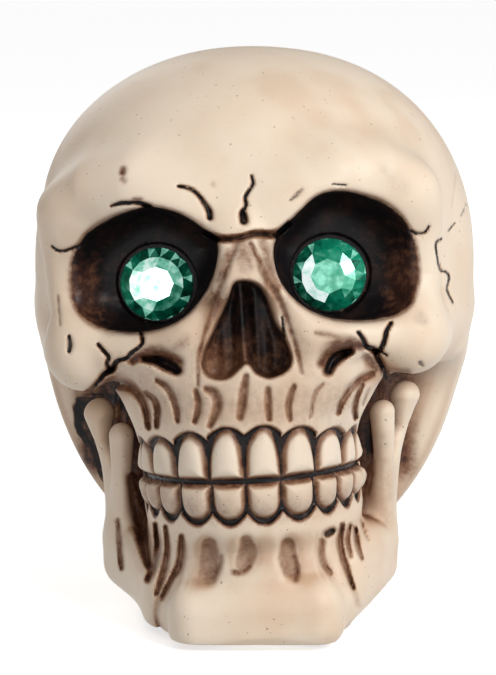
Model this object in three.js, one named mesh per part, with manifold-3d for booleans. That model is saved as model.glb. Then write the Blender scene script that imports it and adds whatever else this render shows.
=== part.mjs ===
// Skull decoration: a hollow resin skull whose two faceted gem eyes are lit from behind.
// Millimetres, +Z up, the face looks along -Y. The origin is on the table, under the middle of the skull.
import * as THREE from 'three';
import { mergeVertices } from 'three/addons/utils/BufferGeometryUtils.js';
import { ConvexGeometry } from 'three/addons/geometries/ConvexGeometry.js';
import Module from 'manifold-3d';

const wasm = await Module();
wasm.setup();

const { clamp, degToRad, lerp, smoothstep } = THREE.MathUtils;

// Clearances
const SEAT_GAP = 0.3; // between a piece and what it seats on
const RUN_GAP = 0.35; // round a piece that moves
const SINK = 0.5; // how far solids that are joined or cut run into each other

// Skull casting: an egg-shaped vault with a face, a jaw and a flat underside
const VAULT = { halfWidth: 61.8, front: 62, back: 63, up: 60.4, down: 89, y: 8, z: 95, roundness: 2.22 };
const HOLLOW = { wall: 7, low: 36, overlap: 6 }; // overlap is how far the throat runs into it
const FACE_TILT = degToRad(3.5); // the face is sculpted leaning a little to one side
const TILT_PIVOT_Z = 76;
const TILT_FROM_Y = 0; // the lean starts here and grows towards the face
const TILT_FULL_Y = -32;
const DRIFT = { x: -1.4, fullZ: 54, fromZ: 70, fullY: -5, fromY: 20 }; // the lower face sits this far aside
const FOREHEAD = { y: -14, z: 116, radii: [52, 45, 38] };
const CHEEK = { centre: [44, -39.5, 79.5], radii: [10, 12, 10] };
const MAXILLA = { y: -36, z: 73, radii: [33, 26, 25] };
const LOWER_JAW = { y: -31, halfWidth: 26.5, length: 26.6, low: 8, high: 40 };
const CHIN = { centre: [0, -47, 8], half: [22.5, 13, 9], round: 7 };
const BACK_WALL = { centre: [27, -3, 36], half: [10, 11, 28], round: 4 }; // behind the branches of the jaw
const FOOT = { side: 2.5, front: 5, back: 15, high: 14, frontRoundness: 8, backRoundness: 4 }; // of resin
const NECK = { inset: [1.5, 6], high: 44, roundness: 4 }; // stands on the foot
const TEMPLE_HOLLOW = { centre: [66, -27, 106], radii: [10, 17, 20] };
const JAW_HOLLOW = { centre: [58, -38, 36], half: [26, 42, 33], round: 14 };
const CHEEK_HOLLOW = { centre: [42, -33, 59], radii: [8.5, 15, 12] };
const BLEND = { mass: 7, jaw: 5, face: 8 }; // how softly the forms run into each other

// Ridges and bars of bone, each along points [x, y, z, radius] on the +X side
const BROW = [
  [7, -56, 113, 5], [16, -56, 118, 5.5], [27, -53.5, 125.5, 6], [38, -48, 124.5, 5.5], [46, -41, 118, 5],
];
const OUTER_RIM = [[46, -41, 118, 5], [48, -37.5, 108, 4.6], [48, -37, 96, 4.6], [45.5, -39.5, 86, 6]];
const LOWER_RIM = [[44.5, -42, 84, 5.5], [36, -49, 82, 5], [25, -54, 83, 5], [15, -57, 87, 4.5]];
const NOSE_SIDE = [[15, -57, 87, 4.6], [11, -59, 97, 4.2], [7, -58, 107, 4.2]];
const NASAL_BONE = [[0, -57, 113, 4.6], [0, -66, 103, 5.6]];
const ARCH = [[49.5, -34, 80, 5], [55, 2, 84, 4.5]];
const JAW_EDGE = [[22, -43, 10.5, 7], [27.4, -28, 10.5, 7], [34.4, -9, 11.5, 7]];
const JAW_BODY = [[24, -40, 18, 6.5], [34.6, -10, 20, 6.9]];
const RAMUS = [[34.4, -12, 19, 5.6], [35.9, -16, 31, 3.2], [36, -18.5, 43, 2.8], [35.5, -20, 53.8, 3.5]];
const BRANCH = [[36, -12, 24, 4.6], [37.5, -12.5, 37, 3.4], [38.9, -12.5, 45, 2.4]];
const CONDYLE = [
  [37, -11, 32, 2.6], [39.1, -10.5, 42, 2.2], [41, -10.5, 49.5, 2.3], [41.8, -11.5, 57.5, 4.3],
];
const BAR = { sides: 8, rows: 12, cap: 0.17 }; // cap is the share of the rows in each round end

// How finely the casting is drawn
const WRAP = {
  columns: 70, rows: 52, crowding: 0.7, spread: 0.1, topShare: 0.22, footShare: 0.06, highZ: 136, lowZ: 4,
};
const HOLLOW_WRAP = {
  columns: 22, rows: 18, crowding: 0, spread: 0, topShare: 0.3, footShare: 0.2, highZ: 110, lowZ: 50,
};

// Eyes, in the leaning frame of the face, given for the +X side
const GEM = { x: 23.25, y: -37, z: 97, diameter: 20, girdle: 1.2, crown: 3.6, table: 8.4, sides: 16 };
const SOCKET = { x: 27, z: 105, halfWidth: 19.4, halfHeight: 18, rimY: -52, mouthY: -74, roundness: 2.6 };
const SEAT = { ring: 1.4, depth: 2 }; // the ring round the gem, and how deep the gem is let into it
const LED = { diameter: 5, flange: 5.8, flangeHeight: 1, length: 8.6, pitch: 2.54, lead: 0.5, leadLength: 6 };
const GLUE = { wall: 1.2, length: 5, setback: 1 };

// Nose opening and teeth, in the leaning frame of the face
const NOSE = { topZ: 101, halfWidth: 11.6, lobeZ: 78, floorZ: 73, spineZ: 79, floorY: -53 };
const DENTAL = { halfWidth: 27, length: 31.4, y: -32, biteZ: 47.2, low: 29, high: 68 };
const TEETH = { perSide: 5, pitch: 10.4, thickness: 5, upper: 13.6, lower: 9.8, shrink: 0.93, roundness: 3 };
const BITE_GAP = 0.8; // the groove between the rows of teeth
const TOOTH_OVERLAP = 0.6; // how far neighbouring teeth run into each other

// Battery box in the underside, in its own frame: X runs along the cells, towards the back of the skull
const BOX_Y = -4; // the middle of the box in the skull
const PLASTIC = 1.6; // moulded wall
const CELL = { diameter: 10.5, length: 44.5, nub: 3.8, nubLength: 1, edge: 0.5 };
const CONTACT = { thickness: 0.5, width: 8, tab: 2.5, tabLength: 2.5 };
const SPRING = { length: 3.4, wire: 0.6, turns: 3, radius: 3.2, tip: 1.6 };
const FLANGE = { margin: 7.5, thickness: 3, recess: 1.2, corner: 5 };
const DOOR = { thickness: 1.6, hinge: 1.5, pin: 0.8, pinLength: 1.6, swingRoom: 0.8, tongue: 6 };
const SWITCH_BAY = 10;
const SWITCH = {
  length: 12, width: 6, height: 5.5, travel: 2.5, pin: 2.5, ears: 20, ear: 0.8, screwSpan: 16,
};
const KNOB = { length: 3, width: 2.2, reach: 3.4, rib: 0.4, ribPitch: 0.9 };
const RESISTOR = { diameter: 2.4, length: 6.3, lead: 0.6, leadLength: 3 };
const WIRE = { diameter: 1.3, straight: 2.5, bow: 5, sides: 6, steps: 14 };
const PAD = { diameter: 12, height: 1.5, inset: 1.5, frontX: 13.5, backX: 14 };

// Screws: radii of shank and head, height of the head, length under it, and the cross in it
const BOX_SCREW = { shank: 1.5, head: 2.9, headHeight: 1.6, length: 9, cross: 0.7 };
const DOOR_SCREW = { shank: 1, head: 1.9, headHeight: 1.2, length: 5, cross: 0.5 };
const SWITCH_SCREW = { shank: 0.8, head: 1.6, headHeight: 1, length: 2.2, cross: 0.4 };

const FINISH = {
  bone: { color: 0xe6cfae, roughness: 0.5 },
  gem: { color: 0x0f8a5f, roughness: 0.05 },
  led: { color: 0x9fe0b8, roughness: 0.2 },
  glue: { color: 0xe8e4d8, roughness: 0.4 },
  plastic: { color: 0x1b1b1c, roughness: 0.6 },
  steel: { color: 0xb8bcc0, roughness: 0.35, metalness: 1 },
  cell: { color: 0x30363c, roughness: 0.4, metalness: 0.3 },
  redWire: { color: 0xa81c1c, roughness: 0.5 },
  blackWire: { color: 0x151515, roughness: 0.5 },
  resistor: { color: 0xc9a877, roughness: 0.6 },
  felt: { color: 0x2b211b, roughness: 1 },
};

// Heights and lengths that the casting, the battery box and what it holds share
const baseZ = PAD.height + SEAT_GAP; // underside of the casting
const cellPitch = CELL.diameter + 2 * SEAT_GAP;
const bayLength = CELL.length + SPRING.length + 2 * CONTACT.thickness + 4 * SEAT_GAP;
const bayWidth = 2 * cellPitch;
const boxLength = bayLength + 2 * PLASTIC;
const boxWidth = bayWidth + SWITCH_BAY + 3 * PLASTIC;
const flangeLength = boxLength + 2 * FLANGE.margin;
const flangeWidth = boxWidth + 2 * FLANGE.margin;
const flangeLow = baseZ + FLANGE.recess;
const flangeHigh = flangeLow + FLANGE.thickness;
const pocketHigh = flangeHigh + SEAT_GAP;
const doorHigh = flangeLow + DOOR.thickness;
const cellZ = doorHigh + SEAT_GAP + CELL.diameter / 2;
const bayHigh = cellZ + CELL.diameter / 2 + SEAT_GAP;
const boxHigh = bayHigh + PLASTIC;
const bayY = boxWidth / 2 - PLASTIC - bayWidth / 2;
const rowY = [bayY - cellPitch / 2, bayY + cellPitch / 2];
const switchY = -boxWidth / 2 + PLASTIC + SWITCH_BAY / 2;
const switchLow = flangeHigh + SEAT_GAP;
const plateX = bayLength / 2 - SEAT_GAP - CONTACT.thickness / 2;
const hingeX = -(bayLength / 2 + PLASTIC + DOOR.hinge + RUN_GAP);
const hingeZ = flangeLow + DOOR.hinge;
const doorScrewX = boxLength / 2 + DOOR.tongue / 2;
const bossHigh = flangeHigh + DOOR_SCREW.length;
const headSeat = flangeLow - SEAT_GAP; // where the heads of the screws in the underside bear
const boxScrewX = (flangeLength - FLANGE.margin) / 2;
const boxScrewY = (flangeWidth - FLANGE.margin) / 2;
const corners = [[-1, -1], [1, -1], [1, 1], [-1, 1]];
const gemRadius = GEM.diameter / 2;
const gemBackY = GEM.y + GEM.girdle;
const seatY = gemBackY + SEAT_GAP;
const ledTipY = seatY + SEAT_GAP;
const ledHole = LED.flange / 2 + GLUE.wall + SEAT_GAP;

// Frames

// The leaning frame of the face.
const faceFrame = new THREE.Matrix4()
  .makeTranslation(0, 0, TILT_PIVOT_Z)
  .multiply(new THREE.Matrix4().makeRotationY(-FACE_TILT))
  .multiply(new THREE.Matrix4().makeTranslation(0, 0, -TILT_PIVOT_Z));

// The frame of the battery box.
const boxFrame = new THREE.Matrix4()
  .makeTranslation(0, BOX_Y, 0)
  .multiply(new THREE.Matrix4().makeRotationZ(Math.PI / 2));

const fromFace = (x, y, z) => new THREE.Vector3(x, y, z).applyMatrix4(faceFrame);
const fromBox = (x, y, z) => new THREE.Vector3(x, y, z).applyMatrix4(boxFrame);

// Shapes

// A block between two opposite corners.
function block(low, high) {
  const size = high.map((top, i) => top - low[i]);
  const middle = high.map((top, i) => (top + low[i]) / 2);
  return new THREE.BoxGeometry(...size).translate(...middle);
}

// A round bar along Z.
function rod(radius, low, high, sides = 12) {
  const upright = new THREE.CylinderGeometry(radius, radius, high - low, sides).rotateX(Math.PI / 2);
  return upright.translate(0, 0, (low + high) / 2);
}

// A round bar along Y.
function barAlongY(radius, low, high, sides = 14) {
  return new THREE.CylinderGeometry(radius, radius, high - low, sides).translate(0, (low + high) / 2, 0);
}

// A plate with rounded corners, centred on the Z axis.
function plate(sizeX, sizeY, corner, low, high) {
  const insetX = sizeX / 2 - corner;
  const insetY = sizeY / 2 - corner;
  const outline = new THREE.Shape();
  corners.forEach(([signX, signY], quarter) => {
    const start = Math.PI + (quarter * Math.PI) / 2;
    outline.absarc(signX * insetX, signY * insetY, corner, start, start + Math.PI / 2);
  });
  const flat = { depth: high - low, bevelEnabled: false, curveSegments: 4 };
  return new THREE.ExtrudeGeometry(outline, flat).translate(0, 0, low);
}

// A turned piece about Z from [radius, height] points, lowest first.
function turned(points, sides = 12) {
  const profile = points.map(([radius, height]) => new THREE.Vector2(radius, height));
  return new THREE.LatheGeometry(profile, sides).rotateX(Math.PI / 2);
}

// A tube of the given radius along a curve.
function tubeAlong(curve, radius, sides, steps) {
  const rim = Array.from({ length: sides }, (_, i) => {
    const angle = (i * 2 * Math.PI) / sides;
    return new THREE.Vector2(radius * Math.cos(angle), radius * Math.sin(angle));
  });
  return new THREE.ExtrudeGeometry(new THREE.Shape(rim), { steps, bevelEnabled: false, extrudePath: curve });
}

// Solids

// A closed geometry as a solid that can be joined and cut.
function toSolid(geometry) {
  if (geometry instanceof wasm.Manifold) return geometry;
  const loose = geometry.index ? geometry.toNonIndexed() : geometry;
  const bare = new THREE.BufferGeometry().setAttribute('position', loose.getAttribute('position'));
  const merged = mergeVertices(bare, 1e-4);
  const triVerts = [];
  for (let i = 0; i < merged.index.count; i += 3) {
    const [a, b, c] = [0, 1, 2].map((k) => merged.index.getX(i + k));
    if (a !== b && b !== c && c !== a) triVerts.push(a, b, c);
  }
  return new wasm.Manifold(new wasm.Mesh({
    numProp: 3,
    vertProperties: merged.attributes.position.array,
    triVerts: new Uint32Array(triVerts),
  }));
}

const join = (...shapes) => shapes.map(toSolid).reduce((whole, next) => whole.add(next));
const carve = (...shapes) => shapes.map(toSolid).reduce((rest, hole) => rest.subtract(hole));

function toGeometry(solid) {
  const mesh = solid.getMesh();
  const geometry = new THREE.BufferGeometry();
  geometry.setAttribute('position', new THREE.BufferAttribute(new Float32Array(mesh.vertProperties), 3));
  geometry.setIndex(new THREE.BufferAttribute(mesh.triVerts, 1));
  geometry.computeVertexNormals();
  return geometry;
}

// Distances from a point to simple masses, negative inside them

function softUnion(a, b, blend) {
  const share = Math.max(blend - Math.abs(a - b), 0) / blend;
  return Math.min(a, b) - (share * share * blend) / 4;
}

const softCut = (body, hollowed, blend) => -softUnion(-body, hollowed, blend);

function toEllipsoid(p, centre, radii) {
  const x = (p.x - centre[0]) / radii[0];
  const y = (p.y - centre[1]) / radii[1];
  const z = (p.z - centre[2]) / radii[2];
  const near = Math.hypot(x, y, z);
  const slope = Math.hypot(x / radii[0], y / radii[1], z / radii[2]);
  return (near * (near - 1)) / Math.max(slope, 1e-6);
}

function toCapsule(p, from, to) {
  const start = new THREE.Vector3().fromArray(from);
  const along = new THREE.Vector3().fromArray(to).sub(start);
  const reach = start.subVectors(p, start);
  const share = clamp(reach.dot(along) / along.lengthSq(), 0, 1);
  return reach.addScaledVector(along, -share).length() - lerp(from[3], to[3], share);
}

// A ridge along points [x, y, z, radius].
function toRidge(p, line) {
  const stretches = line.slice(1).map((point, i) => toCapsule(p, line[i], point));
  return Math.min(...stretches);
}

function toRoundBox(p, centre, half, round) {
  const x = Math.abs(p.x - centre[0]) - half[0] + round;
  const y = Math.abs(p.y - centre[1]) - half[1] + round;
  const z = Math.abs(p.z - centre[2]) - half[2] + round;
  const outside = Math.hypot(Math.max(x, 0), Math.max(y, 0), Math.max(z, 0));
  return outside + Math.min(Math.max(x, y, z), 0) - round;
}

// An upright column with an oval section, which a roundness over 2 squares off.
function toColumn(p, { y, halfWidth, length, low, high, roundness = 2 }) {
  const across = Math.abs(p.x / halfWidth) ** roundness;
  const along = Math.abs((p.y - y) / length) ** roundness;
  const side = ((across + along) ** (1 / roundness) - 1) * Math.min(halfWidth, length);
  return Math.max(side, low - p.z, p.z - high);
}

function toVault(p) {
  const length = p.y < VAULT.y ? VAULT.front : VAULT.back;
  const height = p.z > VAULT.z ? VAULT.up : VAULT.down;
  const sum = Math.abs(p.x / VAULT.halfWidth) ** VAULT.roundness
    + Math.abs((p.y - VAULT.y) / length) ** VAULT.roundness
    + Math.abs((p.z - VAULT.z) / height) ** VAULT.roundness;
  return (sum ** (1 / VAULT.roundness) - 1) * Math.min(VAULT.halfWidth, length, height);
}

// The foot goes round the battery box, and the neck stands on it.
function toNeck(p) {
  const frontY = BOX_Y - flangeLength / 2 - FOOT.front;
  const backY = BOX_Y + flangeLength / 2 + FOOT.back;
  const y = (frontY + backY) / 2;
  const halfWidth = flangeWidth / 2 + FOOT.side;
  const length = (backY - frontY) / 2;
  const low = -FOOT.high;
  const roundness = p.y < y ? FOOT.frontRoundness : FOOT.backRoundness;
  const foot = toColumn(p, { y, halfWidth, length, low, high: FOOT.high, roundness });
  const [insetX, insetY] = NECK.inset;
  const neck = toColumn(p, { ...NECK, y, halfWidth: halfWidth - insetX, length: length - insetY, low });
  return softUnion(foot, neck, BLEND.jaw);
}

// The sculpt before it leans, for a point on the +X side.
function toUprightSculpt(p) {
  const jawHollow = toRoundBox(p, JAW_HOLLOW.centre, JAW_HOLLOW.half, JAW_HOLLOW.round);
  const masses = [
    toEllipsoid(p, [0, FOREHEAD.y, FOREHEAD.z], FOREHEAD.radii),
    toEllipsoid(p, [0, MAXILLA.y, MAXILLA.z], MAXILLA.radii),
    toColumn(p, LOWER_JAW),
    toRidge(p, ARCH),
  ];
  const jawRidges = [
    toRoundBox(p, BACK_WALL.centre, BACK_WALL.half, BACK_WALL.round),
    toRidge(p, JAW_EDGE),
    toRidge(p, JAW_BODY),
    toRoundBox(p, CHIN.centre, CHIN.half, CHIN.round),
    toColumn(p, DENTAL),
  ];
  const faceRidges = [
    ...[BROW, OUTER_RIM, LOWER_RIM, NOSE_SIDE, NASAL_BONE].map((line) => toRidge(p, line)),
    toEllipsoid(p, CHEEK.centre, CHEEK.radii),
  ];
  let form = softCut(toVault(p), jawHollow, BLEND.mass);
  form = masses.reduce((whole, mass) => softUnion(whole, mass, BLEND.mass), form);
  form = jawRidges.reduce((whole, ridge) => softUnion(whole, ridge, BLEND.jaw), form);
  form = softCut(form, toEllipsoid(p, TEMPLE_HOLLOW.centre, TEMPLE_HOLLOW.radii), BLEND.mass);
  form = softCut(form, toEllipsoid(p, CHEEK_HOLLOW.centre, CHEEK_HOLLOW.radii), BLEND.jaw);
  return faceRidges.reduce((whole, ridge) => softUnion(whole, ridge, BLEND.face), form);
}

// The face leans about the Y axis: in full in front, not at all at the back. Its lower part drifts aside.
const leanAt = (y) => FACE_TILT * smoothstep(-y, -TILT_FROM_Y, -TILT_FULL_Y);
const driftAt = (y, z) => (
  DRIFT.x * (1 - smoothstep(z, DRIFT.fullZ, DRIFT.fromZ)) * (1 - smoothstep(y, DRIFT.fullY, DRIFT.fromY))
);

function toSculpt(point) {
  const turn = leanAt(point.y);
  const rise = point.z - TILT_PIVOT_Z;
  const z = TILT_PIVOT_Z - point.x * Math.sin(turn) + rise * Math.cos(turn);
  const x = Math.abs(point.x * Math.cos(turn) + rise * Math.sin(turn) - driftAt(point.y, z));
  return softUnion(toUprightSculpt(new THREE.Vector3(x, point.y, z)), toNeck(point), BLEND.jaw);
}

// A point of the upright sculpt, set where the lean and the drift carry it.
function leaned(x, y, z) {
  const turn = leanAt(y);
  const across = x + driftAt(y, z);
  const rise = z - TILT_PIVOT_Z;
  return new THREE.Vector3(
    across * Math.cos(turn) - rise * Math.sin(turn),
    y,
    TILT_PIVOT_Z + across * Math.sin(turn) + rise * Math.cos(turn),
  );
}

// Skull casting

// A sphere whose points are drawn in along rays until they meet a form, given as a distance. The rays fan out
// over the top and under the foot, run level between, and crowd towards the face and its sides.
function wrap(form, { columns, rows, crowding, spread, topShare, footShare, highZ, lowZ }) {
  const geometry = new THREE.SphereGeometry(1, columns, rows);
  const { position, uv } = geometry.attributes;
  const footFrom = 1 - footShare;
  const point = new THREE.Vector3();
  for (let i = 0; i < position.count; i++) {
    const turn = 2 * Math.PI * (uv.getX(i) - 0.5);
    const heading = turn - crowding * Math.sin(turn) + spread * Math.sin(2 * turn) - Math.PI / 2;
    const row = 1 - uv.getY(i);
    const rise = Math.max(1 - row / topShare, 0) - Math.max((row - footFrom) / footShare, 0);
    const lift = (rise * Math.PI) / 2;
    const level = clamp((row - topShare) / (footFrom - topShare), 0, 1);
    const axis = new THREE.Vector3(0, 0, lerp(highZ, lowZ, level));
    const ray = new THREE.Vector3(
      Math.cos(heading) * Math.cos(lift),
      Math.sin(heading) * Math.cos(lift),
      Math.sin(lift),
    );
    let distance = VAULT.halfWidth + VAULT.back;
    let gap = distance;
    while (gap > 0.01 && distance > 0) {
      point.copy(axis).addScaledVector(ray, distance);
      gap = form(point);
      distance -= Math.max(gap / 2, 0.01);
    }
    position.setXYZ(i, point.x, point.y, point.z);
  }
  return toSolid(geometry);
}

// A round-ended bar of bone along points [x, y, z, radius]. It stands clear of what is behind it.
function boneBar(line, side) {
  const curve = new THREE.CatmullRomCurve3(line.map(([x, y, z]) => leaned(side * x, y, z)));
  const geometry = new THREE.SphereGeometry(1, BAR.sides, BAR.rows);
  const { position, uv } = geometry.attributes;
  const endFrom = 1 - BAR.cap;
  for (let i = 0; i < position.count; i++) {
    const row = 1 - uv.getY(i);
    const rise = Math.max(1 - row / BAR.cap, 0) - Math.max((row - endFrom) / BAR.cap, 0);
    const lift = (rise * Math.PI) / 2;
    const share = clamp((row - BAR.cap) / (endFrom - BAR.cap), 0, 1);
    const reach = share * (line.length - 1);
    const last = Math.min(Math.floor(reach), line.length - 2);
    const radius = lerp(line[last][3], line[last + 1][3], reach - last);
    const tangent = curve.getTangent(share);
    const across = new THREE.Vector3(1, 0, 0).projectOnPlane(tangent).normalize();
    const outward = new THREE.Vector3().crossVectors(tangent, across);
    const turn = 2 * Math.PI * uv.getX(i);
    const point = curve.getPoint(share)
      .addScaledVector(tangent, -radius * Math.sin(lift))
      .addScaledVector(across, -radius * Math.cos(lift) * Math.cos(turn))
      .addScaledVector(outward, radius * Math.cos(lift) * Math.sin(turn));
    position.setXYZ(i, point.x, point.y, point.z);
  }
  return geometry;
}

// An eye socket: a rounded opening that narrows to the ring round the gem.
function eyeSocket(side) {
  const floorY = GEM.y - SEAT.depth;
  const length = floorY - SOCKET.mouthY;
  const tube = new THREE.CylinderGeometry(1, 1, length, 24, 7).translate(0, floorY - length / 2, 0);
  const { position } = tube.attributes;
  const ringRadius = gemRadius + SEAT.ring;
  for (let i = 0; i < position.count; i++) {
    const y = position.getY(i);
    const open = clamp((floorY - y) / (floorY - SOCKET.rimY), 0, 1);
    const bowl = Math.sqrt(1 - (1 - open) ** 2);
    const angle = Math.atan2(position.getZ(i), position.getX(i));
    const power = lerp(2, SOCKET.roundness, bowl);
    const squared = (Math.abs(Math.cos(angle)) ** power + Math.abs(Math.sin(angle)) ** power) ** (-1 / power);
    const radial = squared * Math.hypot(position.getX(i), position.getZ(i));
    const across = Math.cos(angle) * radial * lerp(ringRadius, SOCKET.halfWidth, bowl);
    const upright = Math.sin(angle) * radial * lerp(ringRadius, SOCKET.halfHeight, bowl);
    const x = side * (lerp(GEM.x, SOCKET.x, bowl) + across);
    position.setXYZ(i, x, y, lerp(GEM.z, SOCKET.z, bowl) + upright);
  }
  return (side < 0 ? turnInsideOut(tube) : tube).applyMatrix4(faceFrame);
}

// Turns the faces of a mirrored geometry round, so that they point out again.
function turnInsideOut(geometry) {
  const { index } = geometry;
  for (let i = 0; i < index.count; i += 3) {
    const first = index.getX(i);
    index.setX(i, index.getX(i + 2));
    index.setX(i + 2, first);
  }
  return geometry;
}

// The recess for the gem's edge and, behind it, the hole for the lamp.
function gemSeat(side) {
  const recess = barAlongY(gemRadius + SEAT_GAP, GEM.y - SEAT.depth - SINK, seatY, 2 * GEM.sides);
  const hole = barAlongY(ledHole, seatY - SINK, VAULT.y);
  return [recess, hole].map((bore) => bore.translate(side * GEM.x, 0, GEM.z).applyMatrix4(faceFrame));
}

// The pear-shaped nose opening, with the spine between its two lobes.
function noseOpening() {
  const { topZ, halfWidth, lobeZ, floorZ, spineZ, floorY } = NOSE;
  const rise = topZ - lobeZ;
  const outline = new THREE.Shape().moveTo(0, topZ);
  for (const side of [-1, 1]) {
    const lobe = side * halfWidth;
    const spine = lobe * 0.3;
    if (side < 0) {
      outline.bezierCurveTo(lobe * 0.5, topZ, lobe * 0.6, lobeZ + rise / 2, lobe, lobeZ);
      outline.bezierCurveTo(lobe, floorZ, spine, floorZ - 1, spine, floorZ + 2);
      outline.lineTo(0, spineZ);
    } else {
      outline.lineTo(spine, floorZ + 2);
      outline.bezierCurveTo(spine, floorZ - 1, lobe, floorZ, lobe, lobeZ);
      outline.bezierCurveTo(lobe * 0.6, lobeZ + rise / 2, lobe * 0.5, topZ, 0, topZ);
    }
  }
  const depth = floorY - SOCKET.mouthY;
  const core = new THREE.ExtrudeGeometry(outline, { depth, bevelEnabled: false, curveSegments: 6 });
  return core.rotateX(Math.PI / 2).translate(0, floorY, 0).applyMatrix4(faceFrame);
}

// A tooth with flattened sides.
function toothGeometry(height) {
  const tooth = new THREE.SphereGeometry(1, 8, 6).rotateX(Math.PI / 2);
  const { position } = tooth.attributes;
  const point = new THREE.Vector3();
  for (let i = 0; i < position.count; i++) {
    point.fromBufferAttribute(position, i);
    const sum = point.toArray().reduce((total, part) => total + Math.abs(part) ** TEETH.roundness, 0);
    point.multiplyScalar(sum ** (-1 / TEETH.roundness));
    position.setXYZ(i, point.x, point.y, point.z);
  }
  return tooth.scale((TEETH.pitch + TOOTH_OVERLAP) / 2, TEETH.thickness / 2, height / 2);
}

// Both rows of teeth along the oval of the dental arch. They get smaller towards the cheeks.
function teeth() {
  const rows = [];
  for (const side of [-1, 1]) {
    let angle = TEETH.pitch / 2 / DENTAL.halfWidth;
    for (let n = 0; n < TEETH.perSide; n++) {
      const size = TEETH.shrink ** n;
      const x = side * DENTAL.halfWidth * Math.sin(angle);
      const y = DENTAL.y - DENTAL.length * Math.cos(angle);
      const runX = DENTAL.halfWidth * Math.cos(angle);
      const runY = DENTAL.length * Math.sin(angle);
      for (const [height, sign] of [[TEETH.upper * size, 1], [TEETH.lower * size, -1]]) {
        const tooth = toothGeometry(height).scale(size, 1, 1).rotateZ(side * Math.atan2(runY, runX));
        const z = DENTAL.biteZ + (sign * (height + BITE_GAP)) / 2;
        rows.push(tooth.translate(x + DRIFT.x, y, z).applyMatrix4(faceFrame));
      }
      angle += (TEETH.pitch * size * (1 + TEETH.shrink)) / 2 / Math.hypot(runX, runY);
    }
  }
  return rows;
}

// The hollow follows the sculpt at the wall's thickness. It stays behind the eyes and over the battery box.
function hollow() {
  const frontY = ledTipY + LED.length - LED.flangeHeight;
  return wrap((p) => Math.max(toSculpt(p) + HOLLOW.wall, frontY - p.y, HOLLOW.low - p.z), HOLLOW_WRAP);
}

// Holes for the screws in the corners of the flange.
function boxScrewHoles(low, high) {
  return corners.map(([signX, signY]) => (
    rod(BOX_SCREW.shank + SEAT_GAP, low, high).translate(signX * boxScrewX, signY * boxScrewY, 0)
  ));
}

// The pocket for the flange of the battery box, the throat over it, and the holes for its screws.
function boxPocket() {
  const throatX = boxLength / 2 + SEAT_GAP;
  const throatY = boxWidth / 2 + SEAT_GAP;
  const bossY = DOOR.tongue / 2 + SEAT_GAP;
  const cuts = [
    plate(flangeLength + 2 * SEAT_GAP, flangeWidth + 2 * SEAT_GAP, FLANGE.corner, baseZ - SINK, pocketHigh),
    block([-throatX, -throatY, pocketHigh - SINK], [throatX, throatY, HOLLOW.low + HOLLOW.overlap]),
    block(
      [boxLength / 2, bayY - bossY, pocketHigh - SINK],
      [doorScrewX + bossY, bayY + bossY, bossHigh + SEAT_GAP],
    ),
    ...boxScrewHoles(pocketHigh - SINK, headSeat + BOX_SCREW.length + SEAT_GAP),
  ];
  return cuts.map((cut) => cut.applyMatrix4(boxFrame));
}

function skullCasting() {
  const reach = 2 * (VAULT.front + VAULT.back);
  const underTable = block([-reach, -reach, -reach], [reach, reach, baseZ]);
  const bars = [-1, 1].flatMap((side) => [RAMUS, BRANCH, CONDYLE].map((line) => boneBar(line, side)));
  return toGeometry(carve(
    join(wrap(toSculpt, WRAP), ...teeth(), ...bars),
    underTable,
    hollow(),
    ...boxPocket(),
    noseOpening(),
    ...[-1, 1].flatMap((side) => [eyeSocket(side), ...gemSeat(side)]),
  ));
}

// Eyes

// A round faceted stone with a flat back, its table facing -Y. The origin is the middle of its back.
function gemGeometry() {
  const ring = (count, radius, y, turn) => Array.from({ length: count }, (_, i) => {
    const angle = ((i + turn) * 2 * Math.PI) / count;
    return new THREE.Vector3(Math.cos(angle) * radius, y, Math.sin(angle) * radius);
  });
  const half = GEM.sides / 2;
  const tableRadius = GEM.table / 2;
  const tableY = -GEM.girdle - GEM.crown;
  return new ConvexGeometry([
    ...ring(GEM.sides, gemRadius, 0, 0),
    ...ring(GEM.sides, gemRadius, -GEM.girdle, 0),
    ...ring(half, lerp(gemRadius, tableRadius, 0.45), -GEM.girdle - GEM.crown * 0.62, 0),
    ...ring(half, tableRadius, tableY, 0.5),
  ]);
}

// A lamp with its dome towards -Y and two leads behind. The origin is the tip of its dome.
function ledGeometry() {
  const radius = LED.diameter / 2;
  const flange = LED.flange / 2;
  const flangeFrom = LED.length - LED.flangeHeight;
  const dome = Array.from({ length: 4 }, (_, i) => {
    const angle = (i * Math.PI) / 6;
    return [radius * Math.sin(angle), radius * (1 - Math.cos(angle))];
  });
  const foot = [[radius, flangeFrom], [flange, flangeFrom], [flange, LED.length], [0, LED.length]];
  const bulb = turned([...dome, ...foot]);
  const half = LED.lead / 2;
  const leads = [-1, 1].map((side) => {
    const x = (side * LED.pitch) / 2;
    return block([x - half, -half, LED.length - SINK], [x + half, half, LED.length + LED.leadLength]);
  });
  return toGeometry(join(bulb, ...leads)).rotateX(-Math.PI / 2);
}

// A ring of glue that fills the hole round the lamp. The origin is its front end.
function glueGeometry() {
  const inner = LED.diameter / 2 + SEAT_GAP;
  const outer = ledHole - SEAT_GAP;
  const profile = [[inner, 0], [outer, 0], [outer, GLUE.length], [inner, GLUE.length], [inner, 0]];
  return toGeometry(toSolid(turned(profile))).rotateX(-Math.PI / 2);
}

// Battery box

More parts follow.
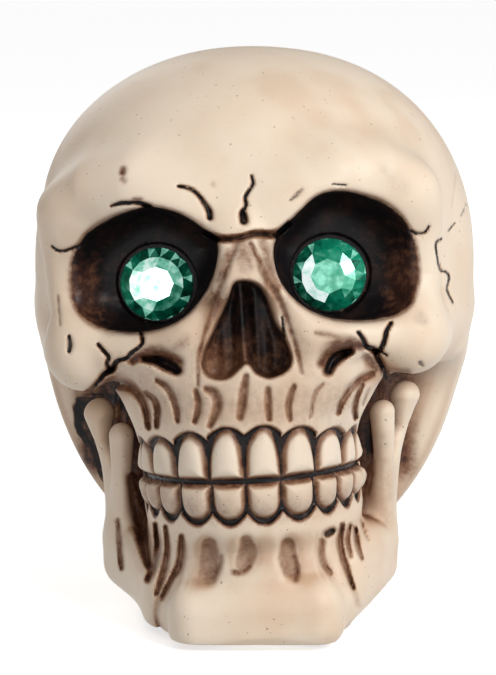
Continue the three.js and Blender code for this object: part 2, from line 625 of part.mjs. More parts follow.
function batteryBox() {
  const tongueY = DOOR.tongue / 2;
  const tabX = CONTACT.thickness / 2 + SEAT_GAP;
  const tabY = CONTACT.tab / 2 + SEAT_GAP;
  const knobX = (KNOB.length + SWITCH.travel) / 2 + RUN_GAP;
  const knobY = KNOB.width / 2 + RUN_GAP;
  const pinReach = bayWidth / 2 + DOOR.pinLength + RUN_GAP;
  const underDoor = flangeLow - SINK;
  const overDoor = doorHigh + RUN_GAP;
  const body = join(
    plate(flangeLength, flangeWidth, FLANGE.corner, flangeLow, flangeHigh),
    block([-boxLength / 2, -boxWidth / 2, flangeHigh - SINK], [boxLength / 2, boxWidth / 2, boxHigh]),
    block(
      [boxLength / 2 - SINK, bayY - tongueY, flangeHigh - SINK],
      [doorScrewX + tongueY, bayY + tongueY, bossHigh],
    ),
  );
  return toGeometry(carve(
    body,
    // Bay for the cells and trough for the switch
    block([-bayLength / 2, bayY - bayWidth / 2, underDoor], [bayLength / 2, bayY + bayWidth / 2, bayHigh]),
    block(
      [-bayLength / 2, switchY - SWITCH_BAY / 2, flangeHigh],
      [bayLength / 2, switchY + SWITCH_BAY / 2, boxHigh + SINK],
    ),
    // Opening for the door, its hinge and its tongue
    block([hingeX, bayY - bayWidth / 2, underDoor], [bayLength / 2, bayY + bayWidth / 2, overDoor]),
    block(
      [hingeX - DOOR.hinge - DOOR.swingRoom, bayY - bayWidth / 2, underDoor],
      [hingeX + DOOR.hinge + RUN_GAP, bayY + bayWidth / 2, flangeHigh + SINK],
    ),
    barAlongY(DOOR.pin + SEAT_GAP, bayY - pinReach, bayY + pinReach).translate(hingeX, 0, hingeZ),
    block(
      [bayLength / 2 - SINK, bayY - tongueY - RUN_GAP, underDoor],
      [doorScrewX + tongueY + RUN_GAP, bayY + tongueY + RUN_GAP, overDoor],
    ),
    rod(DOOR_SCREW.shank + 2 * SEAT_GAP, underDoor, bossHigh + SINK).translate(doorScrewX, bayY, 0),
    // Slot for the knob of the switch, slots for the tabs of the contacts, and screw holes
    block([-knobX, switchY - knobY, underDoor], [knobX, switchY + knobY, flangeHigh + SINK]),
    ...rowY.map((y) => (
      block([plateX - tabX, y - tabY, bayHigh - SINK], [plateX + tabX, y + tabY, boxHigh + SINK])
    )),
    ...boxScrewHoles(underDoor, flangeHigh + SINK),
    ...[-1, 1].map((side) => (
      rod(SWITCH_SCREW.shank + SEAT_GAP, flangeLow + SINK, flangeHigh + SINK)
        .translate((side * SWITCH.screwSpan) / 2, switchY, 0)
    )),
  ));
}

// The door lies flush in the flange, with a hinge barrel and two pins at one end and a tongue at the other.
function batteryDoor() {
  const halfWidth = bayWidth / 2 - RUN_GAP;
  const pinReach = bayWidth / 2 + DOOR.pinLength;
  const endX = bayLength / 2 - RUN_GAP;
  const tongueY = DOOR.tongue / 2;
  return toGeometry(carve(
    join(
      block([hingeX, bayY - halfWidth, flangeLow], [endX, bayY + halfWidth, doorHigh]),
      block([endX - SINK, bayY - tongueY, flangeLow], [doorScrewX + tongueY, bayY + tongueY, doorHigh]),
      barAlongY(DOOR.hinge, bayY - halfWidth, bayY + halfWidth).translate(hingeX, 0, hingeZ),
      barAlongY(DOOR.pin, bayY - pinReach, bayY + pinReach).translate(hingeX, 0, hingeZ),
    ),
    rod(DOOR_SCREW.shank + SEAT_GAP, flangeLow - SINK, doorHigh + SINK).translate(doorScrewX, bayY, 0),
  ));
}

// A dry cell along X with its raised end towards +X. The origin is its middle.
function cellGeometry() {
  const radius = CELL.diameter / 2;
  const can = CELL.length - CELL.nubLength;
  const profile = [
    [0, 0], [radius - CELL.edge, 0], [radius, CELL.edge],
    [radius, can - CELL.edge], [radius - CELL.edge, can],
    [CELL.nub / 2, can], [CELL.nub / 2, CELL.length], [0, CELL.length],
  ];
  const upright = toGeometry(toSolid(turned(profile, 16)));
  return upright.translate(0, 0, -CELL.length / 2).rotateY(Math.PI / 2);
}

// A coil that narrows from its contact plate to the cell, along +X from the origin.
class ConeCoil extends THREE.Curve {
  getPoint(share, target = new THREE.Vector3()) {
    const angle = share * SPRING.turns * 2 * Math.PI;
    const radius = lerp(SPRING.radius, SPRING.tip, share);
    const reach = SPRING.wire / 2 + share * (SPRING.length - SPRING.wire);
    return target.set(reach, Math.cos(angle) * radius, Math.sin(angle) * radius);
  }
}

// A contact plate against an end wall of the bay: end is 1 or -1.
function contactPlate(end, y, width) {
  const half = CONTACT.thickness / 2;
  const low = flangeHigh + SEAT_GAP;
  const high = bayHigh - SEAT_GAP;
  return block([end * plateX - half, y - width / 2, low], [end * plateX + half, y + width / 2, high]);
}

// The tab that takes a contact through the roof of the bay.
function contactTab(y) {
  const halfX = CONTACT.thickness / 2;
  const halfY = CONTACT.tab / 2;
  const high = boxHigh + CONTACT.tabLength;
  return block([plateX - halfX, y - halfY, bayHigh - 2 * SINK], [plateX + halfX, y + halfY, high]);
}

// The spring on a contact plate.
function contactSpring(end, y) {
  const coil = tubeAlong(new ConeCoil(), SPRING.wire / 2, 5, 8 * SPRING.turns);
  const turn = end > 0 ? Math.PI : 0;
  const footX = end * (plateX - CONTACT.thickness / 2 + SPRING.wire / 3);
  return coil.rotateZ(turn).translate(footX, y, cellZ);
}

const positiveContact = () => toGeometry(join(contactPlate(1, rowY[0], CONTACT.width), contactTab(rowY[0])));

const negativeContact = () => toGeometry(join(
  contactPlate(1, rowY[1], CONTACT.width),
  contactTab(rowY[1]),
  contactSpring(1, rowY[1]),
));

const bridgeContact = () => toGeometry(join(
  contactPlate(-1, bayY, CONTACT.width + cellPitch),
  contactSpring(-1, rowY[0]),
));

// A screw with its head down and a cross in it. The origin is under the head.
function screwGeometry({ shank, head, headHeight, length, cross }) {
  const edge = headHeight / 2;
  const screw = turned([
    [0, -headHeight], [head - edge, -headHeight], [head, -headHeight + edge], [head, 0],
    [shank, 0], [shank, length - shank], [0, length],
  ], 10);
  const half = cross / 2;
  const low = -headHeight - SINK;
  const high = -headHeight / 2;
  return toGeometry(carve(
    screw,
    block([-head / 2, -half, low], [head / 2, half, high]),
    block([-half, -head / 2, low], [half, head / 2, high]),
  ));
}

// Slide switch. The origin is the middle of its face on the flange.
function switchBody() {
  const halfLength = SWITCH.length / 2;
  const halfWidth = SWITCH.width / 2;
  const windowX = (KNOB.length + SWITCH.travel) / 2 + RUN_GAP;
  const windowY = KNOB.width / 2 + RUN_GAP;
  const pinHigh = SWITCH.height + SWITCH.pin;
  const pin = CONTACT.thickness;
  return toGeometry(carve(
    join(
      block([-SWITCH.ears / 2, -halfWidth, 0], [SWITCH.ears / 2, halfWidth, SWITCH.ear]),
      block([-halfLength, -halfWidth, 0], [halfLength, halfWidth, SWITCH.height]),
      ...[-1, 0, 1].map((i) => (
        block([-pin, -pin, SWITCH.height - SINK], [pin, pin, pinHigh])
          .translate((i * SWITCH.length) / 3, 0, 0)
      )),
    ),
    block([-windowX, -windowY, -SINK], [windowX, windowY, SWITCH.height / 2]),
    ...[-1, 1].map((side) => (
      rod(SWITCH_SCREW.shank + SEAT_GAP, -SINK, SWITCH.ear + SINK)
        .translate((side * SWITCH.screwSpan) / 2, 0, 0)
    )),
  ));
}

// The knob reaches down through the flange. The origin is in the plane of the switch's face.
function switchKnob() {
  const halfWidth = KNOB.width / 2;
  const knob = block(
    [-KNOB.length / 2, -halfWidth, -KNOB.reach],
    [KNOB.length / 2, halfWidth, SWITCH.height / 2 - SEAT_GAP],
  );
  const half = KNOB.rib / 2;
  const grooves = [-1, 0, 1].map((i) => (
    block([-half, -halfWidth - SINK, -KNOB.reach - SINK], [half, halfWidth + SINK, -KNOB.reach + KNOB.rib])
      .translate(i * KNOB.ribPitch, 0, 0)
  ));
  return toGeometry(carve(knob, ...grooves));
}

// A resistor along Z with its leads. The origin is the end of its lower lead.
function resistorGeometry() {
  const radius = RESISTOR.diameter / 2;
  const lead = RESISTOR.lead / 2;
  const low = RESISTOR.leadLength;
  const high = low + RESISTOR.length;
  const profile = [
    [0, 0], [lead, 0], [lead, low], [radius, low], [radius, high], [lead, high],
    [lead, high + RESISTOR.leadLength], [0, high + RESISTOR.leadLength],
  ];
  return toGeometry(toSolid(turned(profile, 10)));
}

function wireGeometry(points) {
  const route = new THREE.CatmullRomCurve3(points, false, 'centripetal');
  return tubeAlong(route, WIRE.diameter / 2, WIRE.sides, WIRE.steps);
}

// Assembly

const skull = new THREE.Group();
const face = new THREE.Group();
const base = new THREE.Group();
face.applyMatrix4(faceFrame);
base.applyMatrix4(boxFrame);
skull.add(face, base);

function addPiece(parent, name, geometry, finish, x = 0, y = 0, z = 0) {
  const mesh = new THREE.Mesh(geometry, new THREE.MeshStandardMaterial(finish));
  mesh.name = name;
  mesh.position.set(x, y, z);
  parent.add(mesh);
  return mesh;
}

addPiece(skull, 'skull_casting', skullCasting(), FINISH.bone);

// Eyes: the skull's own right is at -X
for (const [name, side] of [['right', -1], ['left', 1]]) {
  const x = side * GEM.x;
  addPiece(face, `${name}_eye_gem`, gemGeometry(), FINISH.gem, x, gemBackY, GEM.z);
  addPiece(face, `${name}_eye_led`, ledGeometry(), FINISH.led, x, ledTipY, GEM.z);
  addPiece(face, `${name}_led_glue`, glueGeometry(), FINISH.glue, x, ledTipY + GLUE.setback, GEM.z);
}

// Battery box, its door and its screws
addPiece(base, 'battery_box', batteryBox(), FINISH.plastic);
addPiece(base, 'battery_door', batteryDoor(), FINISH.plastic);
addPiece(base, 'battery_door_screw', screwGeometry(DOOR_SCREW), FINISH.steel, doorScrewX, bayY, headSeat);
corners.forEach(([signX, signY], i) => {
  const name = `box_screw_${i + 1}`;
  const geometry = screwGeometry(BOX_SCREW);
  addPiece(base, name, geometry, FINISH.steel, signX * boxScrewX, signY * boxScrewY, headSeat);
});

// Cells, side by side with their raised ends apart, and their contacts
const cellX = plateX - CONTACT.thickness / 2 - SEAT_GAP - CELL.length / 2;
addPiece(base, 'battery_1', cellGeometry(), FINISH.cell, cellX, rowY[0], cellZ);
addPiece(base, 'battery_2', cellGeometry(), FINISH.cell, -cellX, rowY[1], cellZ).rotation.z = Math.PI;
addPiece(base, 'positive_contact', positiveContact(), FINISH.steel);
addPiece(base, 'negative_contact', negativeContact(), FINISH.steel);
addPiece(base, 'bridge_contact', bridgeContact(), FINISH.steel);

// Slide switch, shown off: its knob runs along +X to switch on
addPiece(base, 'switch_body', switchBody(), FINISH.plastic, 0, switchY, switchLow);
addPiece(base, 'switch_knob', switchKnob(), FINISH.plastic, -SWITCH.travel / 2, switchY, switchLow);
[-1, 1].forEach((side, i) => {
  const x = (side * SWITCH.screwSpan) / 2;
  const z = switchLow + SWITCH.ear + SEAT_GAP;
  const name = `switch_screw_${i + 1}`;
  const screw = addPiece(base, name, screwGeometry(SWITCH_SCREW), FINISH.steel, x, switchY, z);
  screw.rotation.x = Math.PI;
});
const pinTopZ = switchLow + SWITCH.height + SWITCH.pin + SEAT_GAP;
addPiece(base, 'resistor', resistorGeometry(), FINISH.resistor, 0, switchY, pinTopZ);

// Wiring: from the box up to the lamps, and across from lamp to lamp
const tabTopZ = boxHigh + CONTACT.tabLength + SEAT_GAP;
const resistorTopZ = pinTopZ + RESISTOR.length + 2 * RESISTOR.leadLength + SEAT_GAP;
const leadEndY = ledTipY + LED.length + LED.leadLength;
const leadX = (side, pole) => side * (GEM.x + (pole * LED.pitch) / 2); // pole -1 is the lead nearer the nose
const throatX = boxWidth / 2 - 3 * WIRE.diameter;
const throatZ = HOLLOW.low + HOLLOW.overlap;
const linkGap = LED.lead / 2 + SEAT_GAP + WIRE.diameter / 2;
const linkY = leadEndY - LED.leadLength / 2;

addPiece(skull, 'switch_wire', wireGeometry([
  fromBox(plateX, rowY[0], tabTopZ),
  fromBox(plateX, rowY[0], tabTopZ + WIRE.straight),
  fromBox(plateX / 2, (rowY[0] + switchY) / 2, tabTopZ + WIRE.bow),
  fromBox(SWITCH.length / 3, switchY, tabTopZ + WIRE.straight),
  fromBox(SWITCH.length / 3, switchY, pinTopZ),
]), FINISH.redWire);
addPiece(skull, 'red_wire', wireGeometry([
  fromBox(0, switchY, resistorTopZ),
  fromBox(0, switchY, resistorTopZ + WIRE.straight),
  new THREE.Vector3(throatX, BOX_Y, throatZ),
  fromFace(leadX(1, -1), leadEndY + WIRE.bow, GEM.z - WIRE.bow),
  fromFace(leadX(1, -1), leadEndY + WIRE.straight, GEM.z),
  fromFace(leadX(1, -1), leadEndY + SEAT_GAP, GEM.z),
]), FINISH.redWire);
addPiece(skull, 'black_wire', wireGeometry([
  fromBox(plateX, rowY[1], tabTopZ),
  fromBox(plateX, rowY[1], tabTopZ + WIRE.straight),
  new THREE.Vector3(-throatX, BOX_Y, throatZ),
  fromFace(leadX(-1, 1), leadEndY + WIRE.bow, GEM.z - WIRE.bow),
  fromFace(leadX(-1, 1), leadEndY + WIRE.straight, GEM.z),
  fromFace(leadX(-1, 1), leadEndY + SEAT_GAP, GEM.z),
]), FINISH.blackWire);
addPiece(skull, 'red_link', wireGeometry([
  fromFace(leadX(-1, -1) + linkGap, linkY, GEM.z),
  fromFace(leadX(-1, -1) + WIRE.straight, linkY, GEM.z),
  fromFace(0, linkY + WIRE.straight, GEM.z - WIRE.straight),
  fromFace(leadX(1, -1) - WIRE.straight, linkY, GEM.z),
  fromFace(leadX(1, -1) - linkGap, linkY, GEM.z),
]), FINISH.redWire);
addPiece(skull, 'black_link', wireGeometry([
  fromFace(leadX(-1, 1), linkY, GEM.z + linkGap),
  fromFace(leadX(-1, 1), linkY, GEM.z + WIRE.straight),
  fromFace(0, linkY + WIRE.bow, GEM.z + WIRE.straight + WIRE.bow),
  fromFace(leadX(1, 1), linkY, GEM.z + WIRE.straight),
  fromFace(leadX(1, 1), linkY, GEM.z + linkGap),
]), FINISH.blackWire);

// Felt pads under the chin and under the back of the neck
const chinX = (TILT_PIVOT_Z - baseZ) * Math.sin(FACE_TILT) + DRIFT.x; // where the lean carries the chin
const padFromBox = flangeLength / 2 + SEAT_GAP + PAD.inset + PAD.diameter / 2;
corners.forEach(([signX, signY], i) => {
  const pad = toGeometry(toSolid(rod(PAD.diameter / 2, 0, PAD.height, 18)));
  const x = signY < 0 ? chinX + signX * PAD.frontX : signX * PAD.backX;
  addPiece(skull, `felt_pad_${i + 1}`, pad, FINISH.felt, x, BOX_Y + signY * padFromBox, 0);
});

export default skull;
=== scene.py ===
# Looks of the skull decoration: painted resin with a dark wash and painted shade in its hollows, and green
# stones for eyes with painted reflections and glow.
# The scene is in metres. The sculpt is worked in millimetres, +Z up, with the face looking along -Y.
import math
import random

import bmesh
import bpy
import numpy as np
import openvdb
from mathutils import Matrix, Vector


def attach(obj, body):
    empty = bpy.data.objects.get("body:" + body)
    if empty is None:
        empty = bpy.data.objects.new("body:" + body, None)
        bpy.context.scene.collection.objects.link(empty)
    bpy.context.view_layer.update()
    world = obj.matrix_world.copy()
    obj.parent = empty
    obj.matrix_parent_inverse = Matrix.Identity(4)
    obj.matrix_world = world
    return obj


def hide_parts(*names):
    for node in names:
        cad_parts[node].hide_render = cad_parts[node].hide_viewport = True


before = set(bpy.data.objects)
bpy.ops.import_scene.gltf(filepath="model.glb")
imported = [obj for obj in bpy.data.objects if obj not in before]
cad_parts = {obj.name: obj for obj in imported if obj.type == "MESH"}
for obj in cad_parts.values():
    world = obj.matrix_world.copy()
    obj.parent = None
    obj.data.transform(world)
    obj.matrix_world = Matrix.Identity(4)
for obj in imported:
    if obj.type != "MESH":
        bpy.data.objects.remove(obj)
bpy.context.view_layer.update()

MM = 0.001
PITCH = 0.56  # spacing of the points that the sculpt is worked on
FACE_BUDGET = 190000  # triangles of the finished sculpt
SEED = 7
TINY = 1e-6  # keeps divisions finite
WHITE = (1.0, 1.0, 1.0, 1.0)

# Viewpoint of the photograph, in millimetres, degrees and pixels
PHOTO = (496, 675)
VIEW = {"azimuth": 2.4, "elevation": 10.0, "distance": 850.0, "focal": 3016.0, "target": (-1.6, 0.0, 74.5)}
PX_PER_MM = 3.75  # on the face, as the viewpoint sees it
SENSOR = 36.0

# Lean of the face about the Y axis, full in front and none at the back
LEAN = math.radians(3.5)
LEAN_PIVOT_Z = 76.0
LEAN_FROM_Y = 0.0
LEAN_FULL_Y = -32.0
DRIFT = -1.4  # the lower face sits this far aside in the leaning frame
DRIFT_Z = (54.0, 70.0)  # in full under the first height, not at all over the second
DRIFT_Y = (-5.0, 20.0)

# Masses of the sculpt, given for the +X side
VAULT = {"half": 61.8, "front": 62.0, "back": 63.0, "up": 60.4, "down": 89.0, "y": 8.0, "z": 95.0,
         "power": 2.22}
FOREHEAD = {"centre": (0, -14, 116), "radii": (52, 45, 38)}
BROW = [(7, -55, 113, 5.0), (16, -54.5, 118, 5.5), (27, -51.5, 125, 6.0), (38, -46.5, 124, 5.5),
        (46, -40.5, 118, 5.0)]
OUTER_RIM = [(46, -41, 118, 5.0), (48, -37.5, 108, 4.6), (48, -37, 96, 4.6), (45.5, -39.5, 86, 6.0)]
LOWER_RIM = [(44.5, -42, 84, 5.5), (36, -49, 82, 5.0), (25, -54, 83, 5.0), (15, -57, 87, 4.5)]
NOSE_SIDE = [(15, -57, 87, 4.6), (11, -59, 97, 4.2), (7, -58, 107, 4.2)]
CHEEK = {"centre": (44, -39.5, 79.5), "radii": (10, 12, 10)}
ARCH = [(49.5, -34, 80, 5.0), (55, 2, 84, 4.5)]
MAXILLA = {"centre": (0, -36, 73), "radii": (33, 26, 25)}
NASAL_BONE = [(0, -57, 113, 4.6), (0, -66, 103, 5.6)]
DENTAL = {"half": 29.6, "length": 33.6, "y": -32.0, "low": 29.0, "high": 68.0}  # over the teeth
LOWER_JAW = {"y": -31.0, "half_x": 26.5, "half_y": 26.6, "low": 8.0, "high": 40.0, "power": 2.0}
CHIN = {"centre": (0, -47, 8), "half": (22.5, 13, 9), "round": 7}
JAW_EDGE = [(22.0, -43, 10.5, 7.0), (27.4, -28, 10.5, 7.0), (34.4, -9, 11.5, 7.0)]
JAW_BODY = [(24.0, -40, 18, 6.5), (34.6, -10, 20, 6.9)]
RAMUS = [(34.4, -12, 19, 5.6), (35.9, -16, 31, 3.2), (36.0, -18.5, 43, 2.8), (35.5, -20, 53.8, 3.5)]
BRANCH = [(36.0, -12, 24, 4.6), (37.5, -12.5, 37, 3.4), (38.9, -12.5, 45, 2.4)]  # plate between the two bars
CONDYLE = [(37.0, -11, 32, 2.6), (39.1, -10.5, 42, 2.2), (41.0, -10.5, 49.5, 2.3), (41.8, -11.5, 57.5, 4.3)]
# The +X branches stand higher and wider
BAR_TIP = {"rise": 2.1, "shift": 1.3, "from_z": 19.0, "full_z": 55.0}
BACK_WALL = {"centre": (27, -3, 36), "half": (10, 11, 28), "round": 4}
TEMPLE_HOLLOW = {"centre": (66, -27, 106), "radii": (10, 17, 20)}
JAW_HOLLOW = {"centre": (54.5, -38, 36), "half": (26, 42, 33), "round": 14}
CHEEK_HOLLOW = {"centre": (42, -33, 59), "radii": (8.5, 15, 12)}
BASE_Z = 1.8  # underside of the casting

# The foot round the battery box, and the neck that stands on it. They do not lean.
FOOT = {"y": 1.0, "half_x": 28.5, "half_y": 44.15, "low": -9.0, "high": 14.0}
FOOT_POWER = {"front": 8.0, "back": 4.0}  # how square the foot is
NECK = {"y": 1.0, "half_x": 27.0, "half_y": 38.15, "low": -9.0, "high": 44.0, "power": 4.0}
FOOT_BLEND = 5.0

# Space inside the casting
WALL = 7.0
HOLLOW_LOW = 36.0
HOLLOW_FRONT = -27.5
POCKET = {"low": (-26.6, -38.8, -5.0), "high": (26.6, 30.8, 6.6)}
THROAT = {"low": (-19.2, -31.4, 4.0), "high": (19.2, 23.4, 42.0)}
DOOR_BOSS = {"low": (-9.6, 22.0, 4.0), "high": (-2.0, 29.6, 11.6)}
SCREW_HOLE = {"x": 22.25, "y": (-34.4, 26.4), "radius": 1.9, "high": 12.2, "room": 4.0, "room_high": 15.0}
CUT_ROOM = 3.0

# Eyes, in the leaning frame of the face
GEM = {"x": 23.25, "back_y": -35.8, "z": 97.0, "radius": 10.0}
GEM_SEAT = {"radius": 10.9, "front_y": -44.0, "gap": 0.4}
LAMP_HOLE = {"radius": 4.6, "back_y": -10.0}
EYE_ROOM = {"side": 16, "front_y": -60, "back_y": -8}
SOCKET = {"rim_y": -56.0, "floor_y": -36.0, "slope": 4.0, "outer_slope": 6.0, "outer_x": (26, 44),
          "floor_blend": 9.0, "rim_blend": 2.5}
NOSE_DEPTH = {"rim_y": -64.0, "floor_y": -51.0, "slope": 1.5, "floor_blend": 1.5, "rim_blend": 1.2}
SEPTUM = {"height": 4.5, "half": 2.3, "ripple": 0.5, "ripple_turn": 1.2}  # ridge on the floor of the nose

# Teeth along the dental arch from the middle to the back: width and height
UPPER_TEETH = [(11.2, 13.6), (11.8, 12.4), (12.2, 10.8), (8.0, 10.0), (7.6, 9.4), (7.6, 9.0)]
LOWER_TEETH = [(10.7, 9.5), (11.2, 9.4), (9.6, 8.8), (8.4, 8.2), (7.6, 7.6), (7.6, 7.2)]
BITE = {"z": 47.2, "drop": 2.8, "drop_run": 46.0, "drop_most": 1.2, "half_gap": 0.7}
TOOTH = {"side_gap": 0.35, "bulge": 1.5, "recess": 1.2, "dome": 1.1}
TOOTH_SLOPE = {"crown": 0.8, "side": 0.9}
WAIST = {"upper": 0.1, "lower": 0.36}  # share of a tooth that keeps its full width
POINT = {"upper": 2.1, "lower": 2.4}  # how square the ends of the teeth are
# Scallops of the gum: the room over a tooth, and the dip between teeth
GUM = {"upper": 0.45, "lower": 1.5}
GUM_DIP = {"upper": 2.5, "lower": 3.4}
GUM_EDGE = (-0.5, 0.6)
TEETH_FADE = {"off_arch": (0.2, 0.34), "back_y": (-22, -14)}
FAR_TOOTH = 9.0  # where no tooth is near

# Rooms that parts of the clay are worked in, in millimetres
ROOM = 14.0
BAR_ROOM = 12.0
JAW_SPAN = ((-44, -74, 0), (44, 10, 54))
DENTAL_SPAN = ((-44, -76, 20), (44, 10, 82))
TEETH_SPAN = ((-42, -76, 24), (42, -12, 74))


def smoothstep(low, high, value):
    share = np.clip((value - low) / (high - low), 0, 1)
    return share * share * (3 - 2 * share)


def to_upright(x, y, z):
    """Where points are in the upright frame, in which the face neither leans nor drifts aside."""
    turn = LEAN * smoothstep(-LEAN_FROM_Y, -LEAN_FULL_Y, -y)
    rise = z - LEAN_PIVOT_Z
    across = x * np.cos(turn) + rise * np.sin(turn)
    height = LEAN_PIVOT_Z - x * np.sin(turn) + rise * np.cos(turn)
    drift = DRIFT * (1 - smoothstep(*DRIFT_Z, height)) * (1 - smoothstep(*DRIFT_Y, y))
    return across - drift, height


# The photograph's viewpoint

def view_axes():
    turn = math.radians(VIEW["azimuth"])
    lift = math.radians(VIEW["elevation"])
    back = np.array([math.sin(turn) * math.cos(lift), -math.cos(turn) * math.cos(lift), math.sin(lift)])
    right = np.array([math.cos(turn), math.sin(turn), 0.0])
    return back, right, np.cross(back, right)


VIEW_BACK, VIEW_RIGHT, VIEW_UP = view_axes()
EYE = np.array(VIEW["target"]) + VIEW_BACK * VIEW["distance"]


def to_pixels(x, y, z):
    """Where points in millimetres are seen in the photograph."""
    across = x - EYE[0]
    along = y - EYE[1]
    rise = z - EYE[2]
    depth = -(across * VIEW_BACK[0] + along * VIEW_BACK[1] + rise * VIEW_BACK[2])
    scale = VIEW["focal"] / depth
    px = PHOTO[0] / 2 + scale * (across * VIEW_RIGHT[0] + along * VIEW_RIGHT[1] + rise * VIEW_RIGHT[2])
    py = PHOTO[1] / 2 - scale * (across * VIEW_UP[0] + along * VIEW_UP[1] + rise * VIEW_UP[2])
    return px, py


# Drawing plane: outlines and strokes as the photograph's viewpoint sees them, in its pixels

PLANE_STEP = 0.5
plane_x = (np.arange(int(PHOTO[0] / PLANE_STEP), dtype=np.float32) + 0.5) * PLANE_STEP
plane_y = (np.arange(int(PHOTO[1] / PLANE_STEP), dtype=np.float32) + 0.5) * PLANE_STEP
FAR = 60.0  # pixels, as far as a drawn line is felt
STROKE_REACH = 4.0  # in half widths of a stroke
CARVE_SHARPNESS = 1.2
PAINT_EDGE = (0.65, 1.35)  # in half widths of a stroke
CRISP_EDGE = (0.75, 1.25)
WASH_SPREAD = 1.3


def flow(points, closed=False, steps=5):
    """A smooth line through the points. Each point may carry more than its place, such as a width."""
    points = np.array(points, float)
    count = len(points)
    spans = count if closed else count - 1
    line = []
    for i in range(spans):
        if closed:
            before, start, end, after = (points[(i + k) % count] for k in (-1, 0, 1, 2))
        else:
            before, start, end, after = (points[min(max(i + k, 0), count - 1)] for k in (-1, 0, 1, 2))
        for t in np.arange(steps) / steps:
            line.append(0.5 * (
                2 * start + (end - before) * t
                + (2 * before - 5 * start + 4 * end - after) * t ** 2
                + (3 * start - before - 3 * end + after) * t ** 3
            ))
    if not closed:
        line.append(points[-1])
    return np.array(line)


def places(window):
    """The x and y of a window of the drawing plane."""
    return plane_x[window[1]][None, :], plane_y[window[0]][:, None]


def near_line(line, closed=False):
    """A window of the drawing plane round a line, with the distance to the line and its width there."""
    reach = FAR if closed else STROKE_REACH * (line[:, 2].max() + 1)
    columns = np.where((plane_x > line[:, 0].min() - reach) & (plane_x < line[:, 0].max() + reach))[0]
    rows = np.where((plane_y > line[:, 1].min() - reach) & (plane_y < line[:, 1].max() + reach))[0]
    window = (slice(rows[0], rows[-1] + 1), slice(columns[0], columns[-1] + 1))
    x, y = places(window)
    nearest = np.full((y.shape[0], x.shape[1]), FAR, np.float32)
    width = np.ones_like(nearest)
    ends = np.roll(line, -1, axis=0) if closed else line[1:]
    for start, end in zip(line, ends):
        run = end[:2] - start[:2]
        share = np.clip(((x - start[0]) * run[0] + (y - start[1]) * run[1]) / max(run @ run, TINY), 0, 1)
        distance = np.hypot(x - start[0] - share * run[0], y - start[1] - share * run[1])
        closer = distance < nearest
        nearest = np.where(closer, distance, nearest)
        if not closed:
            width = np.where(closer, start[2] + share * (end[2] - start[2]), width)
    return window, nearest, width


def outline_distance(points):
    """Distance to a closed outline, negative inside it."""
    line = flow(points, closed=True)
    window, nearest, _ = near_line(line, closed=True)
    x, y = places(window)
    inside = np.zeros(nearest.shape, bool)
    for start, end in zip(line, np.roll(line, -1, axis=0)):
        if start[1] == end[1]:
            continue
        crosses = (start[1] > y) != (end[1] > y)
        at = start[0] + (y - start[1]) * (end[0] - start[0]) / (end[1] - start[1])
        inside ^= crosses & (x < at)
    distance = np.full((len(plane_y), len(plane_x)), FAR, np.float32)
    distance[window] = np.where(inside, -nearest, nearest)
    return distance


relief = np.zeros((len(plane_y), len(plane_x)), np.float32)  # carved depth in millimetres
# The black and brown below also hold painted shade in places, most of all behind the teeth and the branches
# of the jaw
ink = np.zeros_like(relief)  # black-brown paint
umber = np.zeros_like(relief)  # brown wash
far_ink = np.zeros_like(relief)  # the same two, behind the teeth and the branches of the jaw
far_umber = np.zeros_like(relief)


def stroke(points, depth=0.0, black=0.0, brown=0.0, crisp=False, paints=(ink, umber)):
    """Carves and paints along a line of (x, y, half width)."""
    window, nearest, width = near_line(flow(points))
    near = nearest / width
    relief[window] += depth * np.exp(-near ** 2 * CARVE_SHARPNESS)
    paint = 1 - smoothstep(*PAINT_EDGE, near)
    wash = 1 - smoothstep(*CRISP_EDGE, near) if crisp else np.exp(-(near / WASH_SPREAD) ** 2)
    paints[0][window] = np.maximum(paints[0][window], black * paint)
    paints[1][window] = np.maximum(paints[1][window], brown * wash)


# Outlines of the sockets and of the nose, in the photograph's pixels
RIGHT_SOCKET = [
    (150, 207), (172, 211), (190, 219), (206, 231), (217, 243), (217, 260), (211, 281), (201, 299),
    (184, 317), (162, 328), (135, 333), (108, 330), (86, 321), (73, 303), (70, 280), (73, 256), (84, 236),
    (103, 222), (127, 212),
]
LEFT_SOCKET = [
    (340, 191), (366, 196), (386, 204), (403, 218), (414, 238), (419, 265), (417, 291), (407, 309),
    (386, 318), (358, 321), (330, 318), (306, 308), (287, 291), (277, 270), (274, 247), (282, 230),
    (298, 213), (317, 196),
]
NOSE = [
    (235, 282), (250, 281), (261, 287), (268, 300), (276, 322), (286, 340), (292, 360), (285, 372),
    (269, 378), (256, 373), (250, 365), (244, 364), (237, 371), (226, 379), (211, 378), (202, 368),
    (205, 349), (215, 327), (228, 298),
]
socket_outline = np.minimum(outline_distance(RIGHT_SOCKET), outline_distance(LEFT_SOCKET))
nose_outline = outline_distance(NOSE)

# Strokes: a line with half widths in the photograph's pixels, depth in millimetres, and how black and brown

# The fold under the brow, over the root of the nose
stroke([(206, 233, 2), (222, 239, 3), (240, 238, 3), (255, 234, 3), (275, 234, 3), (288, 224, 2)],
       2.4, 0.6, 1.0)
